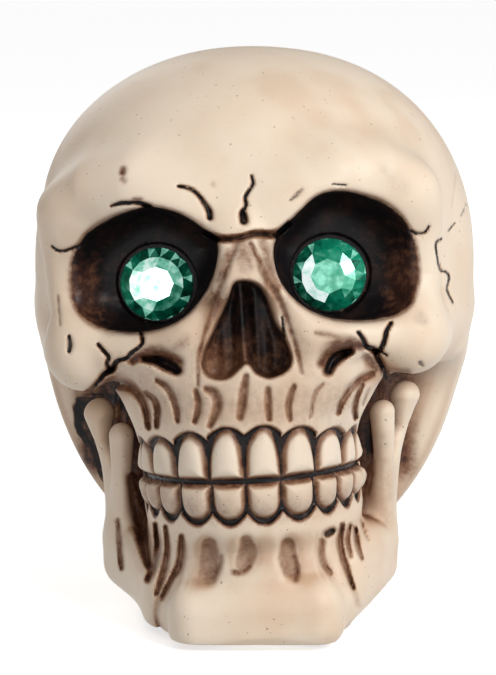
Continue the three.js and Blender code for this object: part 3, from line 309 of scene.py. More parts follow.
# Creases either side of the nose, and brown washes there and over the root of the nose that also paint the
# shade round the nasal bone
stroke([(237, 243, 4), (228, 259, 6), (220, 279, 5)], 0.7, 0.05, 0.66)
stroke([(236, 246, 2), (226, 271, 2.6), (214, 306, 3), (205, 335, 3), (199, 358, 2.6), (198, 385, 2)],
       0.5, 0.1, 0.7)
stroke([(250, 243, 3), (258, 258, 4), (267, 279, 4), (280, 302, 3.4), (290, 328, 2.8), (297, 352, 2.4),
        (302, 373, 2)], 0.7, 0.05, 0.68)
stroke([(263, 240, 6), (268, 262, 7), (277, 285, 5)], 0.4, 0.05, 0.52)
stroke([(222, 290, 6), (211, 315, 8), (203, 340, 8), (198, 368, 7)], brown=0.3)
stroke([(286, 300, 6), (296, 325, 9), (303, 350, 9), (308, 375, 8)], brown=0.28)
stroke([(282, 317, 1.6), (284, 336, 1.8)], 0.6, 0.9, 0.4)
# Brown over the root of the nasal bone, leaving its tip light: painted shade with a wash
stroke([(243, 241, 9), (245, 252, 10), (246, 264, 9)], brown=0.56)
# Openings below the eyes
stroke([(144, 359, 3), (156, 360, 5), (168, 365, 6), (177, 370, 5)], 3.2, 0.85, 0.95)
stroke([(132, 361, 4), (148, 353, 6), (164, 355, 6), (178, 362, 5)], 1.5, 0.15, 0.9)
stroke([(328, 371, 4.5), (332, 362, 5.5), (340, 355, 5.5), (350, 351, 3.5)], 3.2, 0.85, 0.95)
stroke([(322, 363, 5), (333, 349, 7), (347, 344, 7), (360, 346, 5)], 1.4, 0.15, 0.85)
stroke([(316, 333, 2.5), (326, 335, 3.5), (338, 338, 3)], 0.4, 0.3, 0.5)
stroke([(176, 348, 5), (186, 340, 6)], 0.2, 0.0, 0.4)
# Grooves between the roots of the upper teeth
stroke([(101, 388, 3), (115, 383, 5), (128, 385, 5.5), (139, 394, 5), (146, 408, 4), (149, 427, 2.5)],
       1.8, 0.22, 0.77)
stroke([(146, 393, 2.5), (154, 399, 3.5), (158, 410, 3.6), (157, 426, 2.5)], 1.7, 0.31, 0.77)
stroke([(157, 380, 2), (166, 386, 3.5), (173, 397, 3.6), (177, 410, 3.2), (178, 421, 2.2)], 1.4, 0.25, 0.72)
stroke([(196, 391, 2.6), (199, 402, 3.2), (198, 412, 3), (195, 422, 2.2)], 1.4, 0.29, 0.68)
stroke([(206, 389, 3), (214, 393, 5), (218, 403, 5), (215, 415, 4), (210, 426, 2.6)], 1.3, 0.22, 0.72)
stroke([(246, 376, 2.5), (244, 390, 4.5), (242, 405, 4.5), (240, 418, 3)], 1.2, 0.18, 0.72)
stroke([(268, 389, 2.6), (268, 404, 3.2), (269, 419, 2.4)], 1.3, 0.29, 0.64)
stroke([(294, 386, 2.4), (290, 396, 3.4), (288, 408, 3.2), (290, 420, 2)], 1.2, 0.22, 0.64)
stroke([(323, 384, 1.8), (316, 391, 2.4), (312, 402, 2.2), (310, 418, 1.6)], 0.8, 0.20, 0.55)
stroke([(372, 373, 3), (360, 380, 4.5), (349, 391, 4), (341, 403, 3.4), (338, 413, 2.4)], 1.4, 0.24, 0.72)
stroke([(362, 385, 2), (357, 396, 2.8), (354, 408, 2.8), (355, 418, 2)], 1.3, 0.31, 0.68)
stroke([(369, 389, 1.6), (365, 398, 1.8), (363, 405, 1.4)], 0.5, 0.18, 0.51)
# Cracks in the cheekbones
stroke([(141, 334, 1.6), (143, 342, 1.8), (138, 348, 2), (131, 353, 2), (127, 358, 2), (117, 361, 2.2),
        (112, 369, 2.8), (104, 374, 2.2), (99, 381, 2), (92, 388, 1.8), (87, 391, 1.2)], 1.5, 1.0, 0.45)
stroke([(98, 344, 1.6), (104, 351, 1.8), (109, 357, 1.8), (107, 363, 1.8), (110, 369, 2)], 1.4, 1.0, 0.4)
stroke([(358, 332, 1.8), (363, 339, 2.2), (366, 346, 2.6), (373, 349, 3)], 1.5, 1.0, 0.4)
stroke([(391, 323, 1.6), (386, 332, 2), (384, 341, 2.2), (380, 349, 2.4), (374, 351, 2.4)], 1.5, 1.0, 0.4)
stroke([(375, 350, 2.4), (378, 358, 2.2), (382, 366, 2.2), (385, 372, 2), (386, 378, 1.8)], 1.5, 1.0, 0.5)
stroke([(380, 351, 1.6), (387, 355, 1)], 0.8, 0.9, 0.3)
stroke([(366, 357, 4), (371, 363, 4), (376, 369, 3)], 0.5, 0.35, 0.7)
# Cracks and nicks of the brow
stroke([(111, 206, 1.2), (122, 203, 2.2), (139, 203, 2.4), (150, 206, 2)], 1.0, 0.95, 0.6)
stroke([(133, 199, 2), (141, 199, 2)], 0.3, 0.3, 0.6)
stroke([(178, 186, 1.4), (190, 189, 1.8), (198, 195, 1.8), (204, 203, 2.4), (209, 211, 3.2), (210, 218, 3)],
       1.3, 0.8, 0.5)
stroke([(251, 175, 1.2), (253, 184, 1.6), (248, 192, 1.6), (245, 198, 1.8), (246, 205, 1.8), (242, 212, 2)],
       1.0, 1.0, 0.4)
stroke([(243, 215, 3.5), (244, 221, 4)], 2.0, 0.85, 0.6)
stroke([(290, 200, 1.6), (297, 194, 2.4), (302, 189, 1.6)], 0.6, 0.55, 0.4)
stroke([(333, 184, 1.3), (346, 185, 1.3)], 0.5, 0.8, 0.3)
stroke([(52, 246, 1.4), (57, 250, 1.6), (63, 251, 1.5), (70, 249, 1.5), (78, 246, 1.4)], 0.8, 0.95, 0.3)
stroke([(411, 231, 1.5), (418, 234, 1.6), (425, 232, 1.5), (429, 226, 1.3)], 0.8, 0.8, 0.3)
# Hairline cracks in the side of the vault
stroke([(441, 239, 1.5), (436, 243, 1.5), (437, 256, 1.2), (440, 270, 1.4), (446, 272, 1.4), (449, 278, 1.4),
        (447, 290, 1.4), (453, 303, 1.2)], 0.6, 0.8, 0.3)
stroke([(455, 223, 1.4), (448, 231, 1.3)], 0.5, 0.7, 0.2)
stroke([(467, 203, 1.3), (461, 216, 1.2)], 0.4, 0.5, 0.2)
stroke([(456, 172, 1.2), (454, 190, 1.1), (452, 206, 1.1)], 0.3, 0.3, 0.2)
# Worn spots and stains
stroke([(69, 336, 1.6), (70, 345, 3), (69, 352, 2)], 0.9, 0.85, 0.5)
stroke([(58, 296, 1.5), (60, 325, 1.5)], 0.3, 0.3, 0.5)
stroke([(123, 169, 3), (122, 173, 3)], 0.5, 0.2, 0.85)
stroke([(122, 179, 3), (124, 181, 3)], 0.2, 0.0, 0.5)
stroke([(213, 184, 3), (214, 186, 2)], 0.1, 0.0, 0.35)
stroke([(384, 172, 9), (402, 186, 10)], brown=0.22)
stroke([(420, 317, 6), (424, 320, 5)], brown=0.35)
stroke([(420, 363, 2.6), (422, 365, 2)], 0.5, 0.6, 0.5)
stroke([(388, 370, 2.5), (408, 372, 3.5)], 0.4, 0.2, 0.7)
# Hollows in the front of the lower jaw
stroke([(209, 545, 8), (210, 560, 11), (208, 576, 10)], 1.6, 0.0, 0.5, crisp=True)
stroke([(213, 578, 3), (219, 568, 3), (221, 556, 2)], 0.5, 0.0, 0.7)
stroke([(246, 541, 6), (248, 552, 10), (244, 563, 9)], 1.5, 0.0, 0.5, crisp=True)
stroke([(234, 572, 3), (242, 572, 3), (250, 566, 2)], 0.4, 0.0, 0.7)
stroke([(288, 544, 7), (288, 558, 10), (291, 570, 9)], 1.6, 0.0, 0.5, crisp=True)
stroke([(294, 556, 2.5), (297, 569, 3), (296, 579, 3)], 0.5, 0.1, 0.75)
stroke([(327, 534, 3.6), (332, 531, 3.6)], 1.2, 0.8, 0.6)
# Grooves under the lower teeth and along the sides of the lower jaw
stroke([(322, 541, 2.6), (321, 553, 3.2), (324, 565, 3), (330, 573, 2)], 0.9, 0.1, 0.6)
stroke([(342, 525, 2), (340, 540, 3), (342, 555, 3), (347, 571, 2.4), (353, 588, 1.4)], 1.4, 0.18, 0.68)
stroke([(350, 526, 1.8), (347, 540, 2.2), (350, 556, 2)], 0.9, 0.21, 0.59)
stroke([(355, 529, 1.8), (357, 545, 2.4), (362, 559, 1.8)], 1.1, 0.15, 0.59)
stroke([(361, 521, 1.3), (364, 532, 1.3), (368, 540, 1.2)], 0.5, 0.18, 0.34)
stroke([(131, 478, 4), (136, 503, 6), (141, 528, 6.5), (146, 550, 5.5), (149, 566, 3)], 2.7, 0.24, 0.85)
stroke([(156, 524, 2), (158, 543, 3.4), (155, 562, 4.2), (148, 580, 2.6)], 1.6, 0.21, 0.81)
stroke([(166, 526, 1.8), (168, 548, 2.8), (164, 570, 3.4), (157, 594, 2)], 1.4, 0.09, 0.72)
stroke([(182, 536, 2), (182, 552, 3.6), (179, 567, 3.8), (172, 579, 2.2), (162, 598, 1.6)], 1.5, 0.12, 0.72)
stroke([(118, 520, 2), (120, 545, 3), (122, 568, 2.4)], 1.2, 0.03, 0.68)
# Dark paint and painted shade in the recesses round the branches of the jaw, with how black and how brown
# each place is
RECESS_PAINT_AND_SHADE = [
    ([(80, 397, 2.5), (78, 412, 4.5), (80, 430, 4.5), (85, 439, 2)], 0.95, 1.0),
    ([(90, 443, 2), (96, 456, 4.5), (101, 470, 4), (104, 480, 2)], 0.95, 1.0),
    ([(84, 396, 2), (98, 395, 2.5), (112, 398, 4), (124, 404, 5), (129, 413, 4)], 0.95, 1.0),
    ([(134, 424, 6), (135, 450, 8), (136, 480, 9), (139, 510, 9), (143, 540, 7)], 0.35, 1.0),
    ([(418, 408, 2.4), (411, 419, 3.6), (406, 432, 3.6), (407, 441, 2.2)], 0.95, 1.0),
    ([(415, 390, 3), (418, 399, 2.4), (414, 404, 2)], 0.4, 0.8),
    ([(368, 434, 4), (370, 443, 6), (369, 452, 4)], 0.95, 1.0),
    ([(371, 424, 6), (374, 402, 8), (382, 388, 8), (392, 384, 5)], 0.35, 1.0),
]
for line, how_black, how_brown in RECESS_PAINT_AND_SHADE:
    stroke(line, 0.0, how_black, how_brown, crisp=True, paints=(far_ink, far_umber))
# A shade beside the teeth, on the +X side
stroke([(370, 458, 4), (371, 474, 4), (368, 494, 2.5)], brown=0.6)
# Creases either side of the chin
stroke([(166, 588, 2.5), (158, 602, 3), (157, 618, 2.6), (162, 632, 2)], 0.7, 0.0, 0.36)
stroke([(350, 582, 2.5), (356, 596, 3), (358, 606, 2.6)], 0.5, 0.0, 0.3)
# Washes over the roots of the teeth, the lower teeth and the +X branches of the jaw
stroke([(120, 372, 14), (165, 400, 24), (245, 408, 26), (325, 400, 24), (368, 385, 12)], brown=0.3)
stroke([(145, 496, 10), (190, 510, 13), (250, 514, 14), (310, 508, 13), (352, 492, 10)], brown=0.32)
stroke([(382, 436, 9), (385, 480, 12), (386, 520, 10)], brown=0.26)


# Working clay: distances to the surface on a grid of points, negative inside, in millimetres

def soft_min(a, b, blend):
    share = np.maximum(blend - np.abs(a - b), 0) / blend
    return np.minimum(a, b) - share * share * (blend / 4)


def soft_max(a, b, blend):
    return -soft_min(-a, -b, blend)


def to_ellipsoid(p, centre, radii):
    x, y, z = ((p[i] - centre[i]) / radii[i] for i in range(3))
    near = np.sqrt(x * x + y * y + z * z)
    slope = np.sqrt((x / radii[0]) ** 2 + (y / radii[1]) ** 2 + (z / radii[2]) ** 2)
    return near * (near - 1) / np.maximum(slope, TINY)


def to_round_box(p, centre, half, round_by):
    x, y, z = (np.abs(p[i] - centre[i]) - half[i] + round_by for i in range(3))
    outside = np.sqrt(np.maximum(x, 0) ** 2 + np.maximum(y, 0) ** 2 + np.maximum(z, 0) ** 2)
    return outside + np.minimum(np.maximum(np.maximum(x, y), z), 0) - round_by


def to_box(p, low, high):
    centre = [(a + b) / 2 for a, b in zip(low, high)]
    half = [(b - a) / 2 for a, b in zip(low, high)]
    return to_round_box(p, centre, half, 0.0)


def to_roll(p, line):
    """A round bar along (x, y, z, radius) points."""
    nearest = None
    for start, end in zip(line, line[1:]):
        run = [end[i] - start[i] for i in range(3)]
        length = sum(r * r for r in run)
        share = sum((p[i] - start[i]) * run[i] for i in range(3)) / length
        share = np.clip(share, 0, 1)
        gap = sum((p[i] - start[i] - share * run[i]) ** 2 for i in range(3))
        distance = np.sqrt(gap) - (start[3] + share * (end[3] - start[3]))
        nearest = distance if nearest is None else np.minimum(nearest, distance)
    return nearest


def to_bar(p, side, line):
    """A branch of the jaw. The +X branches are tipped up, the others down."""
    share = smoothstep(BAR_TIP["from_z"], BAR_TIP["full_z"], p[2])
    shift = np.where(side > 0, BAR_TIP["shift"], 0.0)
    return to_roll((p[0] - shift * share, p[1], p[2] - side * BAR_TIP["rise"] * share), line)


def to_column(p, form, edge=0.5):
    """An upright column whose plan is squarer the higher its power."""
    power = form["power"]
    across = np.abs(p[0] / form["half_x"]) ** power + np.abs((p[1] - form["y"]) / form["half_y"]) ** power
    side = (across ** (1 / power) - 1) * min(form["half_x"], form["half_y"])
    return soft_max(side, np.maximum(form["low"] - p[2], p[2] - form["high"]), edge)


def to_vault(p):
    length = np.where(p[1] < VAULT["y"], VAULT["front"], VAULT["back"])
    height = np.where(p[2] > VAULT["z"], VAULT["up"], VAULT["down"])
    total = np.abs(p[0] / VAULT["half"]) ** VAULT["power"]
    total = total + np.abs((p[1] - VAULT["y"]) / length) ** VAULT["power"]
    total = total + np.abs((p[2] - VAULT["z"]) / height) ** VAULT["power"]
    return (total ** (1 / VAULT["power"]) - 1) * VAULT["half"]


GRID_LOW = np.array([-67.0, -76.0, -3.0])
GRID_HIGH = np.array([67.0, 76.0, 161.0])
axes = [np.arange(low, high, PITCH, dtype=np.float32) for low, high in zip(GRID_LOW, GRID_HIGH)]
grid_x = axes[0][:, None, None]
grid_y = axes[1][None, :, None]
grid_z = axes[2][None, None, :]
upright_x, upright_z = to_upright(grid_x, grid_y, grid_z)
LEAN_MARGIN = 6.0


def window_of(low, high):
    """The part of the grid between two corners that are given in the upright frame."""
    margins = (LEAN_MARGIN, 0.0, LEAN_MARGIN)
    cut = []
    for axis, a, b, margin in zip(axes, low, high, margins):
        first = np.searchsorted(axis, a - margin)
        last = np.searchsorted(axis, b + margin)
        cut.append(slice(first, max(last, first + 1)))
    return tuple(cut)


def points_in(window, side=1):
    return side * upright_x[window], grid_y[:, window[1], :], upright_z[window]


clay = to_vault((np.abs(upright_x), grid_y, upright_z)).astype(np.float32)


def work(form, low, high, blend, cut=False):
    """Joins a form to the clay on both sides, or cuts it out, inside a box that is given for the +X side."""
    for side in (1, -1):
        span = sorted((side * low[0], side * high[0]))
        window = window_of((span[0], low[1], low[2]), (span[1], high[1], high[2]))
        distance = form(points_in(window, side), side)
        if cut:
            clay[window] = soft_max(clay[window], -distance, blend)
        else:
            clay[window] = soft_min(clay[window], distance, blend)


def work_roll(line, blend):
    spots = np.array(line, float)
    reach = spots[:, 3].max() + ROOM
    work(lambda p, side: to_roll(p, line), spots[:, :3].min(0) - reach, spots[:, :3].max(0) + reach, blend)


def work_bar(line, blend):
    spots = np.array(line, float)[:, :3]
    work(lambda p, side: to_bar(p, side, line), spots.min(0) - BAR_ROOM, spots.max(0) + BAR_ROOM, blend)


def work_ellipsoid(form, blend, cut=False):
    centre = np.array(form["centre"], float)
    reach = np.array(form["radii"], float) + ROOM
    work(lambda p, side: to_ellipsoid(p, form["centre"], form["radii"]),
         centre - reach, centre + reach, blend, cut)


def work_box(form, blend, cut=False):
    centre = np.array(form["centre"], float)
    reach = np.array(form["half"], float) + ROOM
    work(lambda p, side: to_round_box(p, form["centre"], form["half"], form["round"]),
         centre - reach, centre + reach, blend, cut)


work_box(JAW_HOLLOW, blend=7, cut=True)
work_box(BACK_WALL, blend=4)
work_ellipsoid(FOREHEAD, blend=8)
work_roll(ARCH, blend=6)
work_ellipsoid(MAXILLA, blend=7)
work(lambda p, side: to_column(p, LOWER_JAW), *JAW_SPAN, blend=6)
work_box(CHIN, blend=5)
work_roll(JAW_EDGE, blend=5)
work_roll(JAW_BODY, blend=5)
dental_window = window_of(*DENTAL_SPAN)
dental_core = {**DENTAL, "power": 2.0}
dental_core["half_x"] = DENTAL["half"] - TOOTH["bulge"]
dental_core["half_y"] = DENTAL["length"] - TOOTH["bulge"]
dental = to_column(points_in(dental_window), dental_core, edge=7)
clay[dental_window] = soft_min(clay[dental_window], dental, blend=5)
work_ellipsoid(TEMPLE_HOLLOW, blend=7, cut=True)
work_ellipsoid(CHEEK_HOLLOW, blend=5, cut=True)
work_roll(BROW, blend=14)
work_roll(OUTER_RIM, blend=8)
work_roll(LOWER_RIM, blend=6)
work_roll(NOSE_SIDE, blend=6)
work_roll(NASAL_BONE, blend=7)
work_ellipsoid(CHEEK, blend=5)
low_part = (slice(None), slice(None), slice(0, int(np.searchsorted(axes[2], NECK["high"] + ROOM))))
low_place = (grid_x, grid_y, grid_z[:, :, low_part[2]])
foot_power = np.where(grid_y < FOOT["y"], FOOT_POWER["front"], FOOT_POWER["back"])
foot = to_column(low_place, {**FOOT, "power": foot_power})
foot = soft_min(foot, to_column(low_place, NECK), FOOT_BLEND)
clay[low_part] = soft_min(clay[low_part], foot, FOOT_BLEND)

# Teeth, on the unrolled dental arch

ARCH_MEAN = (DENTAL["half"] + DENTAL["length"]) / 2


def on_arch_run(x, y):
    """How far along the dental arch a place is from its middle, and how far off the arch, as a share."""
    across = np.abs(x) / DENTAL["half"]
    ahead = (DENTAL["y"] - y) / DENTAL["length"]
    return ARCH_MEAN * np.arctan2(across, ahead), np.abs(np.hypot(across, ahead) - 1)


def tooth_fields(run, height):
    """How far places of the unrolled arch are outside the nearest tooth, and outside the gum's scallops."""
    shape = np.broadcast(run, height).shape
    tooth = np.full(shape, FAR_TOOTH, np.float32)
    gum = np.full(shape, FAR_TOOTH, np.float32)
    bite = BITE["z"] - BITE["drop"] * np.minimum(run / BITE["drop_run"], BITE["drop_most"]) ** 2
    for row, sign, kind in ((UPPER_TEETH, 1, "upper"), (LOWER_TEETH, -1, "lower")):
        point = POINT[kind]
        waist = WAIST[kind]
        up = sign * (height - bite) - BITE["half_gap"]
        start = 0.0
        for width, tall in row:
            across = np.abs(run - start - width / 2)
            half = width / 2 - TOOTH["side_gap"]
            crown = np.clip(up / tall - waist, 0, None) / (1 - waist)
            field = ((across / half) ** point + crown ** point) ** (1 / point) - 1
            field = field * half * TOOTH_SLOPE["crown"]
            side = (across - half) * TOOTH_SLOPE["side"]
            field = np.where(crown > 0, field, side)
            tooth = np.minimum(tooth, np.maximum(field, -up))
            edge = tall + GUM[kind] - GUM_DIP[kind] * (across / (width / 2)) ** 2
            inside = (across <= width / 2) & (up > -BITE["half_gap"])
            gum = np.where(inside, up - edge, gum)
            start += width
    return tooth, gum


teeth_window = window_of(*TEETH_SPAN)
tooth_x, tooth_y, tooth_z = points_in(teeth_window)
arch_run, off_arch = on_arch_run(tooth_x, tooth_y)
tooth_gap, gum_gap = tooth_fields(arch_run, tooth_z)
near_teeth = 1 - smoothstep(*TEETH_FADE["off_arch"], off_arch)
near_teeth = near_teeth * (1 - smoothstep(*TEETH_FADE["back_y"], tooth_y))
dome = 1 - np.exp(-np.maximum(-tooth_gap, 0) / TOOTH["dome"])
opened = 1 - smoothstep(*GUM_EDGE, gum_gap)
clay[teeth_window] += (TOOTH["recess"] * opened - (TOOTH["recess"] + TOOTH["bulge"]) * dome) * near_teeth

# Branches of the jaw
work_bar(RAMUS, blend=2.5)
work_bar(BRANCH, blend=2.5)
work_bar(CONDYLE, blend=1.8)

# What the drawing plane carves
FRONT_FROM_Y = -4.0
FRONT_FULL_Y = -16.0
front = (slice(None), slice(0, int(np.searchsorted(axes[1], FRONT_FROM_Y))), slice(None))
front_y = grid_y[:, front[1], :]
seen_x, seen_y = to_pixels(grid_x, front_y, grid_z)


def sample_plane(drawn, px, py):
    """A drawing's value at places in the photograph's pixels."""
    column = np.clip(px / PLANE_STEP - 0.5, 0, drawn.shape[1] - 2)
    row = np.clip(py / PLANE_STEP - 0.5, 0, drawn.shape[0] - 2)
    left = column.astype(np.int32)
    top = row.astype(np.int32)
    right_share = (column - left).astype(np.float32)
    low_share = (row - top).astype(np.float32)
    upper = drawn[top, left] * (1 - right_share) + drawn[top, left + 1] * right_share
    lower = drawn[top + 1, left] * (1 - right_share) + drawn[top + 1, left + 1] * right_share
    return upper * (1 - low_share) + lower * low_share


def bowl(y, rim_y, floor_y):
    """How far a hollow's wall has drawn in at a depth, 0 at its rim and 1 at its floor."""
    depth = np.clip((y - rim_y) / (floor_y - rim_y), 0, 1)
    return 1 - np.sqrt(np.maximum(1 - depth * depth, 0))


uncut = clay.copy()
slope = SOCKET["slope"] + SOCKET["outer_slope"] * smoothstep(*SOCKET["outer_x"], np.abs(upright_x[front]))
socket_cut = sample_plane(socket_outline, seen_x, seen_y) / PX_PER_MM
socket_cut += slope * bowl(front_y, SOCKET["rim_y"], SOCKET["floor_y"])
socket_cut = soft_max(socket_cut, front_y - SOCKET["floor_y"], SOCKET["floor_blend"])
clay[front] = soft_max(clay[front], -socket_cut, SOCKET["rim_blend"])
nose_cut = sample_plane(nose_outline, seen_x, seen_y) / PX_PER_MM
nose_cut += NOSE_DEPTH["slope"] * bowl(front_y, NOSE_DEPTH["rim_y"], NOSE_DEPTH["floor_y"])
septum = SEPTUM["height"] * np.exp(-(upright_x[front] / SEPTUM["half"]) ** 2)
septum = septum + SEPTUM["ripple"] * np.cos(upright_x[front] * SEPTUM["ripple_turn"])
nose_cut = soft_max(nose_cut, front_y - NOSE_DEPTH["floor_y"] + septum, NOSE_DEPTH["floor_blend"])
clay[front] = soft_max(clay[front], -nose_cut, NOSE_DEPTH["rim_blend"])
clay[front] += sample_plane(relief, seen_x, seen_y) * smoothstep(-FRONT_FROM_Y, -FRONT_FULL_Y, -front_y)

# The outer skin keeps its own field, for the paint, before the inside is cut
skin = clay.copy()


def cut_plain(form, low, high):
    window = tuple(
        slice(np.searchsorted(axis, a), np.searchsorted(axis, b) + 1) for axis, a, b in zip(axes, low, high)
    )
    place = (grid_x[window[0]], grid_y[:, window[1]], grid_z[:, :, window[2]])
    clay[window] = np.maximum(clay[window], -form(place))


np.maximum(clay, BASE_Z - grid_z, out=clay)
hollow = np.maximum(np.maximum(skin + WALL, HOLLOW_FRONT - grid_y), HOLLOW_LOW - grid_z)
np.maximum(clay, -hollow, out=clay)
for space in (POCKET, THROAT, DOOR_BOSS):
    cut_plain(lambda p, s=space: to_box(p, s["low"], s["high"]),
              np.array(space["low"]) - CUT_ROOM, np.array(space["high"]) + CUT_ROOM)
for hole_y in SCREW_HOLE["y"]:
    for hole_x in (-SCREW_HOLE["x"], SCREW_HOLE["x"]):
        room = SCREW_HOLE["room"]
        cut_plain(lambda p, x=hole_x, y=hole_y: np.maximum(
            np.hypot(p[0] - x, p[1] - y) - SCREW_HOLE["radius"], p[2] - SCREW_HOLE["high"]),
            (hole_x - room, hole_y - room, 0), (hole_x + room, hole_y + room, SCREW_HOLE["room_high"]))
for side in (1, -1):
    centre_x = side * GEM["x"]
    room = EYE_ROOM["side"]
    window = window_of((centre_x - room, EYE_ROOM["front_y"], GEM["z"] - room),
                       (centre_x + room, EYE_ROOM["back_y"], GEM["z"] + room))
    eye_x, eye_y, eye_z = points_in(window)
    from_axis = np.hypot(eye_x - centre_x, eye_z - GEM["z"])
    seat = np.maximum(from_axis - GEM_SEAT["radius"], eye_y - GEM["back_y"] - GEM_SEAT["gap"])
    seat = np.maximum(seat, GEM_SEAT["front_y"] - eye_y)
    lamp = np.maximum(from_axis - LAMP_HOLE["radius"], eye_y - LAMP_HOLE["back_y"])
    clay[window] = np.maximum(clay[window], -np.minimum(seat, lamp))


# The clay as a mesh

def trilinear(field, points):
    place = (points - GRID_LOW.astype(np.float32)) / PITCH
    low = np.clip(np.floor(place).astype(np.int32), 0, np.array(field.shape) - 2)
    share = np.clip(place - low, 0, 1).astype(np.float32)
    value = np.zeros(len(points), np.float32)
    for corner in range(8):
        step = np.array([corner & 1, (corner >> 1) & 1, corner >> 2])
        weight = np.prod(np.where(step, share, 1 - share), axis=1)
        at = low + step
        value += weight * field[at[:, 0], at[:, 1], at[:, 2]]
    return value


def gradient(field, points, reach):
    slopes = []
    for axis in range(3):
        step = np.zeros(3, np.float32)
        step[axis] = reach
        slopes.append(trilinear(field, points + step) - trilinear(field, points - step))
    slopes = np.stack(slopes, axis=1)
    return slopes / np.maximum(np.linalg.norm(slopes, axis=1, keepdims=True), TINY)


def new_mesh(name, points, faces):
    mesh = bpy.data.meshes.new(name)
    mesh.from_pydata(points, [], faces)
    mesh.update()
    return mesh


def add_object(name, data):
    piece = bpy.data.objects.new(name, data)
    bpy.context.scene.collection.objects.link(piece)
    return piece


BAND = 3.0 * PITCH
NORMAL_REACH = 0.6 * PITCH
grid = openvdb.FloatGrid()
grid.background = BAND
grid.copyFromArray(np.clip(clay, -BAND, BAND))
points, triangles, quads = grid.convertToPolygons(isovalue=0.0, adaptivity=0.0)
points = points * PITCH + GRID_LOW


def mesh_from_arrays(name, points, quads, triangles):
    mesh = bpy.data.meshes.new(name)
    corners = np.concatenate([quads.ravel(), triangles.ravel()]).astype(np.int32)
    sizes = np.concatenate([np.full(len(quads), 4), np.full(len(triangles), 3)])
    starts = np.concatenate([[0], np.cumsum(sizes)[:-1]]).astype(np.int32)
    mesh.vertices.add(len(points))
    mesh.vertices.foreach_set("co", points.astype(np.float32).ravel())
    mesh.loops.add(len(corners))
    mesh.loops.foreach_set("vertex_index", corners)
    mesh.polygons.add(len(sizes))
    mesh.polygons.foreach_set("loop_start", starts)
    mesh.update(calc_edges=True)
    return mesh


def keep_largest_body(mesh):
    """Leaves out the loose crumbs of a mesh."""
    shape = bmesh.new()
    shape.from_mesh(mesh)
    left = set(shape.verts)
    bodies = []
    while left:
        body = [left.pop()]
        for vert in body:
            for edge in vert.link_edges:
                other = edge.other_vert(vert)
                if other in left:
                    left.remove(other)
                    body.append(other)
        bodies.append(body)
    bodies.sort(key=len)
    crumbs = [vert for body in bodies[:-1] for vert in body]
    bmesh.ops.delete(shape, geom=crumbs, context="VERTS")
    shape.to_mesh(mesh)
    shape.free()


rough = add_object("skull_clay", mesh_from_arrays("skull_clay", points, quads, triangles))
triangle_count = 2 * len(quads) + len(triangles)
if triangle_count > FACE_BUDGET:
    thin = rough.modifiers.new("thin", "DECIMATE")
    thin.ratio = FACE_BUDGET / triangle_count
skull_mesh = bpy.data.meshes.new_from_object(rough.evaluated_get(bpy.context.evaluated_depsgraph_get()))
bpy.data.objects.remove(rough)
keep_largest_body(skull_mesh)
skull_mesh.name = "skull"

spots = np.zeros(len(skull_mesh.vertices) * 3, np.float32)
skull_mesh.vertices.foreach_get("co", spots)
spots = spots.reshape(-1, 3)
normals = gradient(clay, spots, NORMAL_REACH)


# Paint: a brown wash with painted shade in the hollows, and strokes of black and brown

# Reaches that show how closed in a spot is and whether the viewpoint sees it
FINE_REACHES = (0.8, 1.6, 2.6)
BROAD_REACHES = (4.0, 8.0, 14.0)
SIGHT_REACHES = np.arange(3.0, 60.0, 1.5)
SIGHT_LIFT = 1.2
CLEAR_AIR = 9.0
CLEAR_FADE = (-0.3, 0.5)
FACING_FADE = (0.02, 0.15)

# Fades of the masks, in millimetres, in the photograph's pixels or as shares
SKIN_FADE = (-2.5, -0.8)
OUTLINE_FADE = (-2.5, 1.5)
CARVED_FADE = (1.2, 3.0)
CARVED_REACH = (2.0, 6.0)
RIM_FADE = (0.0, 5.0)
FORWARD_Y = (-20, -12)
BEHIND_Y = (-34, -26)
BAR_FADE = (0.3, 1.8)
DEEP_FADE = (0.25, 0.75)
SHADE_WASH_FADE = (0.04, 0.5)
CREVICE = {"black": (0.6, 0.95), "brown": (0.38, 0.75)}
TEETH_PAINT = {"off_arch": (0.2, 0.3), "back_y": (-20, -13)}
BLACK_GAP = {"gum": (-0.2, 0.5), "tooth": (-0.3, 0.25)}
BROWN_EDGE = {"gum": (-0.3, 1.6), "tooth": (-1.15, 0.2)}
TOOTH_FADE = (-0.6, 0.2)
LOW_TEETH_FADE = 2.0
NOSE_LIGHT = {"z": (72, 92), "x": (-3, 3), "x_share": 0.5}
OUTER_WALL = {"side": (34, 42), "z": (98, 112)}
SEAT_PAINT = {"radius": (12.0, 13.5), "y": (-46, -10, 2)}

# Places with paint of their own, dark paint and painted shade, as (low, high, fade). Pairs of values are for
# the -X and the +X side.
WALL_ZONE = {"side": (18, 36.5, 3), "z": (14, 64, 5), "y": (-15.5, 4, 4)}
WALL_FADE_Z = (36, 48)
RECESS_ZONE = {"z": (38, 70, 9), "y": (-9.0, 18, 4)}
RECESS_SIDE = {"inner": 33, "outer": (46.0, 43.0), "fade": 7}
RECESS_DEEP = (0.5, 1.0)
MUZZLE_ZONE = {"side": (0, 24, 8), "z": (65, 104, 5)}

# How strong each paint and painted shade is, and how much lighter it is in places
BLACK = {"gap": 0.95, "hollow": 0.93, "crevice": 0.5, "wall": 0.3, "recess": (0.6, 0.3)}
BROWN = {"tooth_edge": 0.85, "recess": 0.9, "rim": 0.55, "deep": 0.7, "crevice": 0.6}
SHADE_WASH = {"muzzle": 0.4, "low_teeth": 0.42}
LIGHTER = {"nose": 0.15, "low_nose": 0.82, "low_nose_brown": 0.35, "outer_wall": 0.55, "bar": 0.6,
           "deep_bar": 0.75}


def within(value, low, high, fade):
    """1 between two values, fading to 0 outside them."""
    return smoothstep(low - fade, low, value) * (1 - smoothstep(high, high + fade, value))


def fall(low, high, value):
    return 1 - smoothstep(low, high, value)


def most(*layers):
    return np.maximum.reduce(layers)


